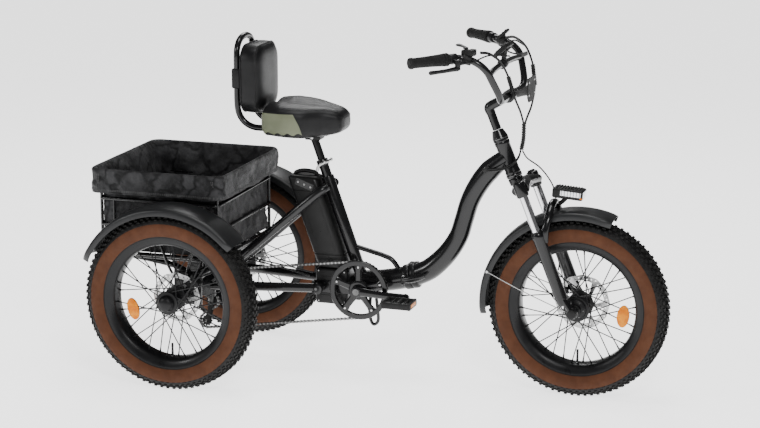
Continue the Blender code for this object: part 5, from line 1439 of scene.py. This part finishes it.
def stem_and_plate():
    shape = Shape("quill_stem", PAINT)
    shape.rod(steer_point(-0.096), steer_point(-0.156), 0.0139, sides=36)
    shape.bend([steer_point(-0.148), steer_point(-0.166), steer_point(-0.172, 0.012),
                Vector((0.372, 0, 0.926)), STEM_HEAD], 8, 0.015, 28,
               spread([0.95, 1.08, 1.05, 0.95, 0.95], 8))
    clamp = [(0.0118, 0.03), (0.018, 0.03), (0.0195, 0.0285), (0.0195, -0.0285), (0.018, -0.03),
             (0.0118, -0.03)]
    shape.lathe(clamp, STEM_HEAD, Y_AXIS, 44, closed=True)
    shape.paint(STEEL)
    cap = steer_point(-0.1745, -0.002)
    shape.rod(cap, cap + STEER_UP * 0.006, 0.0075, 0.0068, 24, 0.001)
    for side in (-1, 1):
        bolt = Vector((0.414, side * 0.019, 0.952))
        shape.rod(bolt, bolt + Vector((0.0035, 0, 0.002)), 0.0036, 0.0032, 16, 0.0005)
    shape.build("steering", "frame_paint", ("stem",))
    plate = Shape("front_plate", MATT)
    outline = [(-0.045, 1.003), (0.045, 1.003), (0.045, 0.944), (0.03, 0.928), (-0.03, 0.928), (-0.045, 0.944)]
    plate.loft([[(x, y, z) for y, z in outline] for x in (0.4622, 0.4658)])
    plate.paint(GREY)
    flare = [(0.0105, 0.0), (0.0108, 0.015), (0.013, 0.028), (0.0175, 0.039), (0.02, 0.044), (0, 0.044)]
    plate.lathe(flare, (0.419, 0, 0.946), (0.938, 0, 0.345), 36)
    plate.paint(STEEL)
    for y in (-0.034, 0.034):
        for z in (0.95, 0.99):
            plate.rod((0.4656, y, z), (0.4668, y, z), 0.0036, 0.003, 18, 0.0003)
    plate.build("steering", "fender_paint", ("accessory_plate",))


# ---------------------------------------------------------------- cables
SPIRAL_TURNS = 12


def cables():
    loom = Shape("cable_bundle", CABLE)
    right = [(0.35, -0.178, 1.099), (0.37, -0.148, 1.092), (0.392, -0.105, 1.062), (0.408, -0.066, 1.01),
             (0.421, -0.046, 0.95), (0.436, -0.02, 0.895), (0.443, 0.0, 0.85)]
    left = [(0.33, 0.19, 1.092), (0.372, 0.15, 1.1), (0.42, 0.1, 1.08), (0.45, 0.07, 1.03),
            (0.462, 0.056, 0.97), (0.456, 0.044, 0.91), (0.448, 0.015, 0.872), (0.443, 0.0, 0.845)]
    for route in (right, left):
        for dy, dz in ((0.0026, 0.0), (-0.0026, 0.0012), (0.0, -0.0028)):
            loom.tube([p + Vector((0, dy, dz)) for p in curve_through(route, 10)], 0.0025, 10)
    for _, side in SIDES:
        inner, along, ahead = grip_axes(side)
        head = inner - along * 0.0365 + ahead * 0.033 - Z_AXIS * 0.01
        bend = [head, head - along * 0.03, bar_side((0.372, 0.16, 1.088), side), bar_side(route[2], side)]
        loom.bend(bend, 10, 0.0025, 10)
    sleeves = ([(0.443, 0.0, 0.856), (0.442, 0.0, 0.81), (0.436, 0.0, 0.774)], right[3:5], left[3:5])
    for sleeve in sleeves:
        wrapped = curve_through(sleeve, 60 // (len(sleeve) - 1))
        loom.tube(wrapped, 0.0056, 16)
        spiral = []
        for i, point in enumerate(wrapped):
            t = 2 * math.pi * SPIRAL_TURNS * i / (len(wrapped) - 1)
            spiral.append(point + Vector((math.cos(t), math.sin(t), 0)) * 0.0062)
        loom.bend(spiral, 3, 0.0017, 6)
    loom.build("steering", "soft_rubber", ("cable_loom",))
    frame_run = Shape("frame_cables", CABLE)
    route = [(0.4345, -0.0035, 0.7715), (0.431, -0.016, 0.752), (0.418, -0.0335, 0.733),
             (0.392, -0.04, 0.719), (0.362, -0.0405, 0.712), (0.344, -0.0365, 0.71),
             (0.335, -0.033, 0.71)]
    for dz in (-0.0024, 0.0024):
        frame_run.tube([p + Z_AXIS * dz for p in curve_through(route, 10)], 0.0024, 10)
    piece = frame_run.build(None, "soft_rubber", ("frame_cable",))
    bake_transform(piece)
    hose = Shape("front_hose", CABLE)
    route = [(0.4385, 0.003, 0.7695), (0.452, 0.014, 0.744), (0.486, 0.056, 0.705),
             (0.514, 0.098, 0.645), (0.524, 0.112, 0.585), (0.533, 0.113, 0.52),
             (0.54, 0.112, 0.44), (0.54, 0.1, 0.392), (0.5405, 0.086, 0.374)]
    hose.bend(route, 10, 0.0024, 12)
    piece = hose.build(None, "soft_rubber", ("front_brake_hose",))
    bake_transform(piece)


# ---------------------------------------------------------------- seat
SADDLE_POWER = 0.42  # the squareness of its section: 1 is an ellipse and 0 a box


def super_ring(x, half_w, low, high, count):
    ring = []
    for a in around(count):
        c, s = math.cos(a), math.sin(a)
        y = half_w * math.copysign(abs(c) ** SADDLE_POWER, c)
        z = (low + high) / 2 + (high - low) / 2 * math.copysign(abs(s) ** SADDLE_POWER, s)
        ring.append(Vector((x, y, z)))
    return ring


def saddle():
    """A wide saddle: its stations give x, half width, underside and top."""
    stations = [(-0.388, 0.086, 0.812, 0.85), (-0.386, 0.104, 0.8, 0.868), (-0.372, 0.124, 0.786, 0.886),
                (-0.33, 0.132, 0.782, 0.89), (-0.285, 0.131, 0.78, 0.887), (-0.25, 0.121, 0.78, 0.883),
                (-0.22, 0.097, 0.782, 0.88), (-0.192, 0.074, 0.786, 0.877), (-0.165, 0.063, 0.791, 0.871),
                (-0.148, 0.055, 0.797, 0.863), (-0.139, 0.044, 0.806, 0.853), (-0.1345, 0.028, 0.815, 0.842)]
    rows = curve_through([Vector(s[:3]) for s in stations], 6)
    tops = spread([s[3] for s in stations], 6)
    rings = []
    for (x, half_w, low), high in zip(rows, tops):
        ring = super_ring(x, half_w, low, high, 96)
        for point in ring:
            across = point.y / half_w
            if point.z > (low + high) / 2:
                groove = 0.0095 * math.exp(-(across / 0.2) ** 2) * min(1.0, max(0.0, (-0.15 - x) / 0.05))
                point.z -= groove + 0.007 * abs(across) ** 3
            elif abs(across) > 0.9:
                point.z += 0.003 * math.sin(point.x * 160)
            elif x < -0.262 and abs(point.y) < 0.09:
                point.z = max(point.z, 0.815)
        rings.append(ring)
    shape = Shape("saddle_cover", SADDLE_LEATHER)
    shape.loft(rings)
    shape.paint(PLASTIC)
    shape.block((-0.262, 0, 0.789), (0.15, 0.085, 0.01), 0.004)
    shape.paint(BLACK)
    for side in (-1, 1):
        rail = [(-0.355, side * 0.04, 0.79), (-0.33, side * 0.034, 0.782), (-0.262, side * 0.022, 0.78),
                (-0.205, side * 0.022, 0.783), (-0.175, side * 0.014, 0.793)]
        shape.bend(rail, 8, 0.0036, 14)
    cover = shape.build("seat", "seat_leather", ("saddle",), angle=60)
    trim = Shape("saddle_piping", LEATHER)
    seam = 0.8
    reach = (1 - (2 * seam - 1) ** (1 / SADDLE_POWER)) ** SADDLE_POWER
    route = [(x, half_w * reach * 1.003, low + (high - low) * seam + 0.0015)
             for (x, half_w, low), high in zip(rows[3:-5], tops[3:-5])]
    for side in (-1, 1):
        trim.tube([bar_side(p, side) for p in route], 0.0016, 8)
    trim.build("seat", "seat_leather")


def backrest():
    shape = Shape("backrest_loop", PAINT)
    half = [(-0.29, 0.062, 0.803), (-0.385, 0.065, 0.803), (-0.428, 0.066, 0.805), (-0.458, 0.067, 0.82),
            (-0.476, 0.069, 0.848), (-0.481, 0.07, 0.885), (-0.481, 0.07, 0.96), (-0.481, 0.07, 1.03),
            (-0.481, 0.062, 1.06), (-0.481, 0.04, 1.08), (-0.481, 0.0, 1.088)]
    route = [(x, -y, z) for x, y, z in half] + [(x, y, z) for x, y, z in reversed(half[:-1])]
    shape.bend(route, 10, 0.01, 24)
    shape.block((-0.311, 0, 0.792), (0.078, 0.138, 0.006), 0.002)
    shape.paint(BLACK)
    shape.block((-0.4757, 0, 0.96), (0.018, 0.15, 0.056), 0.004)
    for side in (-1, 1):
        shape.block((-0.4812, side * 0.07, 0.96), (0.0284, 0.027, 0.064), 0.005, segments=4)
        shape.paint(DARK_STEEL)
        for z in (0.948, 0.976):
            shape.rod((-0.495, side * 0.07, z), (-0.4975, side * 0.07, z), 0.0042, 0.0036, 16, 0.0006)
        shape.paint(BLACK)
    shape.build("seat", "frame_paint", ("backrest_frame",))


def pad_outline(x, inset):
    return [Vector((x, y, z)) for y, z in rounded(inset - 0.096, 0.096 - inset, 0.848 + inset, 1.068 - inset,
                                                  0.052 - inset * 0.5, 12)]


def backrest_pad():
    """A thick pad: a crowned front, a full side band and piping along both of its seams."""
    shape = Shape("backrest_cushion", LEATHER)
    levels = [(-0.4655, 0.06), (-0.466, 0.02), (-0.465, 0.0085), (-0.4615, 0.0035), (-0.4585, 0.0022),
              (-0.449, 0.0006), (-0.434, 0.0), (-0.42, 0.0006), (-0.412, 0.0022), (-0.409, 0.0035),
              (-0.4045, 0.007), (-0.4, 0.013), (-0.3965, 0.022), (-0.3945, 0.034), (-0.3934, 0.05),
              (-0.393, 0.07)]
    shape.loft([pad_outline(x, inset) for x, inset in levels])
    for x in (-0.46, -0.4105):
        shape.tube(pad_outline(x, 0.0018), 0.0021, 10, closed=True)
    piece = shape.build("seat", "seat_leather", ("backrest_pad",), angle=70)


def seat_post():
    shape = Shape("post", BLACK)
    shape.rod(seat_point(-0.165), seat_point(0.15), 0.0124, sides=36)
    shape.block((-0.245, 0, 0.7745), (0.052, 0.05, 0.02), 0.005, segments=4)
    shape.rod((-0.245, -0.026, 0.774), (-0.245, 0.026, 0.774), 0.011, sides=32, round_edge=0.001)
    shape.paint(STEEL)
    for side in (-1, 1):
        shape.rod((-0.245, side * 0.0258, 0.774), (-0.245, side * 0.03, 0.774), 0.006, sides=6,
                  round_edge=0.0006)
    shape.build("seat", "frame_paint", ("seat_post",))
    lever = Shape("seat_quick_release", STEEL)
    lever.rod(seat_point(*SEAT_LEVER, -0.014), seat_point(*SEAT_LEVER, 0.014), 0.0045, sides=24)
    path = [seat_point(*SEAT_LEVER, -0.012), seat_point(0.068, -0.015, -0.0255), seat_point(0.062, 0.006, -0.0285),
            seat_point(0.05, 0.016, -0.028)]
    lever.bend(path, 8, 0.004, 18, spread([1.1, 1.0, 1.0, 1.2], 8), 1.2)
    lever.build("seat_clamp_lever", "bare_steel", ("seat_clamp_lever",))


# ---------------------------------------------------------------- basket
BAG_LOW, BAG_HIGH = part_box("basket_bag")
CUFF_INSET = 0.026
CUFF_DEPTH = 0.08
WALL_STEPS = 64


def basket_ring(inset, z, crease):
    """A rounded outline of the basket, seen from above, creased in and out like soft cloth."""
    x0, x1 = BAG_LOW.x + inset, BAG_HIGH.x - inset
    y0, y1 = BAG_LOW.y + inset, BAG_HIGH.y - inset
    corner = 0.032 - max(0.0, inset - 0.003) * 0.8
    corners = ((x1, y0, 270), (x1, y1, 0), (x0, y1, 90), (x0, y0, 180))
    ring = []
    for i, (cx, cy, start) in enumerate(corners):
        mx = cx - corner if cx == x1 else cx + corner
        my = cy - corner if cy == y1 else cy + corner
        for k in range(6):
            a = math.radians(start + 90 * k / 5)
            ring.append((Vector((mx + corner * math.cos(a), my + corner * math.sin(a), z)),
                         Vector((math.cos(a), math.sin(a), 0))))
        a = math.radians(start + 90)
        nx, ny, _ = corners[(i + 1) % 4]
        ex = nx - corner if nx == x1 else nx + corner
        ey = ny - corner if ny == y1 else ny + corner
        end = Vector((ex + corner * math.cos(a), ey + corner * math.sin(a), z))
        begin = ring[-1][0]
        for k in range(1, WALL_STEPS):
            ring.append((begin.lerp(end, k / WALL_STEPS), Vector((math.cos(a), math.sin(a), 0))))
    return [p + out * crease * fold(p) for p, out in ring]


def fold(point):
    """How far soft cloth stands out at a point: broad waves with sharper creases across them."""
    broad = noise.noise(point * 11.0)
    skew = Vector((point.x + point.z * 0.8, point.y + point.z * 0.8, point.z * 0.5))
    crisp = 1.0 - 2.2 * abs(noise.noise(skew * 24.0))
    fine = 1.0 - 2.2 * abs(noise.noise(skew * 52.0))
    return 0.7 * broad + 0.45 * crisp + 0.22 * fine - 0.45


def stitches(shape, gaps):
    """A short raised thread between each pair of points."""
    for a, b in gaps:
        shape.rod(a.lerp(b, 0.15), a.lerp(b, 0.8), 0.0007, sides=6)


def basket_bag():
    """The liner: inside walls and floor, rolled over the top ring, with a hanging cuff."""
    top, low = BAG_HIGH.z, BAG_LOW.z
    hem = top - CUFF_DEPTH
    wall = CUFF_INSET - 0.0005
    knee = hem - 0.004
    levels = [(wall + 0.0005, low + 0.0035, 0.0)]
    levels += [(wall, low + 0.006 + (knee - low - 0.006) * k / 18, 0.008) for k in range(19)]
    levels += [(0.025, top - 0.059, 0.005), (0.0215, top - 0.043, 0.003), (0.016, top - 0.028, 0.0),
               (0.0085, top - 0.014, 0.0),
               (0.003, top - 0.005, 0.001), (-0.001, top - 0.001, 0.0012), (-0.0045, top - 0.0008, 0.002),
               (-0.0078, top - 0.0045, 0.0036)]
    levels += [(-0.0088, top - 0.01 - (CUFF_DEPTH - 0.013) * k / 16, 0.0066) for k in range(17)]
    levels += [(-0.0082, hem + 0.0008, 0.0058), (-0.0064, hem + 0.0002, 0.0058), (-0.005, hem + 0.0022, 0.0058)]
    levels += [(-0.0052, hem + 0.03, 0.005), (-0.0044, top - 0.012, 0.002), (0.0012, top - 0.009, 0.001),
               (0.007, top - 0.016, 0.0), (0.0142, top - 0.03, 0.0), (0.0197, top - 0.045, 0.003),
               (0.023, top - 0.061, 0.005)]
    levels += [(CUFF_INSET - 0.0025, knee - (knee - low - 0.004) * k / 18, 0.008) for k in range(19)]
    levels += [(CUFF_INSET + 0.001, low + 0.001, 0.0)]
    shape = Shape("basket_liner", CLOTH)
    rings = []
    for inset, z, crease in levels:
        ring = basket_ring(inset, z, crease)
        if inset < 0 and z < hem + 0.02:
            for point in ring:
                point.z += 0.007 * noise.noise(point * 12) * (hem + 0.02 - z) / 0.02
        rings.append(ring)
    shape.loft(rings)
    shape.paint(GREY_THREAD)
    for depth in (CUFF_DEPTH - 0.012, CUFF_DEPTH - 0.0085):
        seam = basket_ring(-0.009, top - depth, 0.0062)
        stitches(shape, [seam[i:i + 2] for i in range(len(seam) - 1)])
    for inset in (0.022, 0.028):
        for sx in (0, 1):
            for sy in (-1, 1):
                x = BAG_LOW.x + inset if sx == 0 else BAG_HIGH.x - inset
                for flat in (Vector((x, sy * (BAG_HIGH.y + 0.009), 0)),
                             Vector(((BAG_LOW.x - 0.009, BAG_HIGH.x + 0.009)[sx], sy * (BAG_HIGH.y - inset), 0))):
                    out = Y_AXIS * sy if flat.x == x else Vector((2 * sx - 1, 0, 0))
                    line = [flat + Z_AXIS * (hem + 0.004 + 0.005 * k) for k in range(13)]
                    line = [p + out * 0.0062 * fold(p) for p in line]
                    stitches(shape, list(zip(line, line[1:])))
    liner = shape.build("rear_frame", "basket_fabric", ("basket_bag",), angle=80)


def basket_frame():
    low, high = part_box("basket_frame")
    radius = 0.0055
    x0, x1, y0, y1 = low.x + radius, high.x - radius, low.y + radius, high.y - radius
    base = low.z + radius
    shape = Shape("basket_cage", PAINT)

    def hoop(z):
        return [(x, y, z) for x, y in rounded(x0, x1, y0, y1, 0.016, 6, 3)]

    for z in (base, 0.49, 0.575):
        shape.tube(hoop(z), radius * 0.98, 16, closed=True)
    flare = 0.0095
    rim = [(x + math.copysign(flare, x - (x0 + x1) / 2), y + math.copysign(flare, y), z) for x, y, z in hoop(0.64)]
    shape.tube(rim, radius * 0.9, 16, closed=True)
    inset = 0.0045
    for x, sx in ((x0 + inset, -1), (x1 - inset, 1)):
        for y, sy in ((y0 + inset, -1), (y1 - inset, 1)):
            shape.tube([(x, y, base), (x, y, 0.596), (x + sx * flare, y + sy * flare, 0.64)], radius * 0.95, 16)
    for x in (x0 + 0.05, x1 - 0.05):
        for y in (y0, y1):
            shape.rod((x, y, base), (x, y, 0.575), radius * 0.72, sides=14)
    for y in (-0.15, -0.075, 0.0, 0.075, 0.15):
        shape.rod((x0, y, base), (x1, y, base), radius * 0.75, sides=14)
    shape.build("rear_frame", "frame_paint", ("basket_frame",))


for make in (set_stage, wheels, mudguards, main_frame_front, main_frame_rear, rear_subframe, hinge_latch, battery,
             controller, chain, chainset, cranks, pedals, cassette, derailleur, calipers, fork, headlight,
             handlebar, grips, brakes, shifter, display, control_pad, stem_and_plate, cables, saddle, backrest,
             backrest_pad, seat_post, basket_frame, basket_bag):
    make()
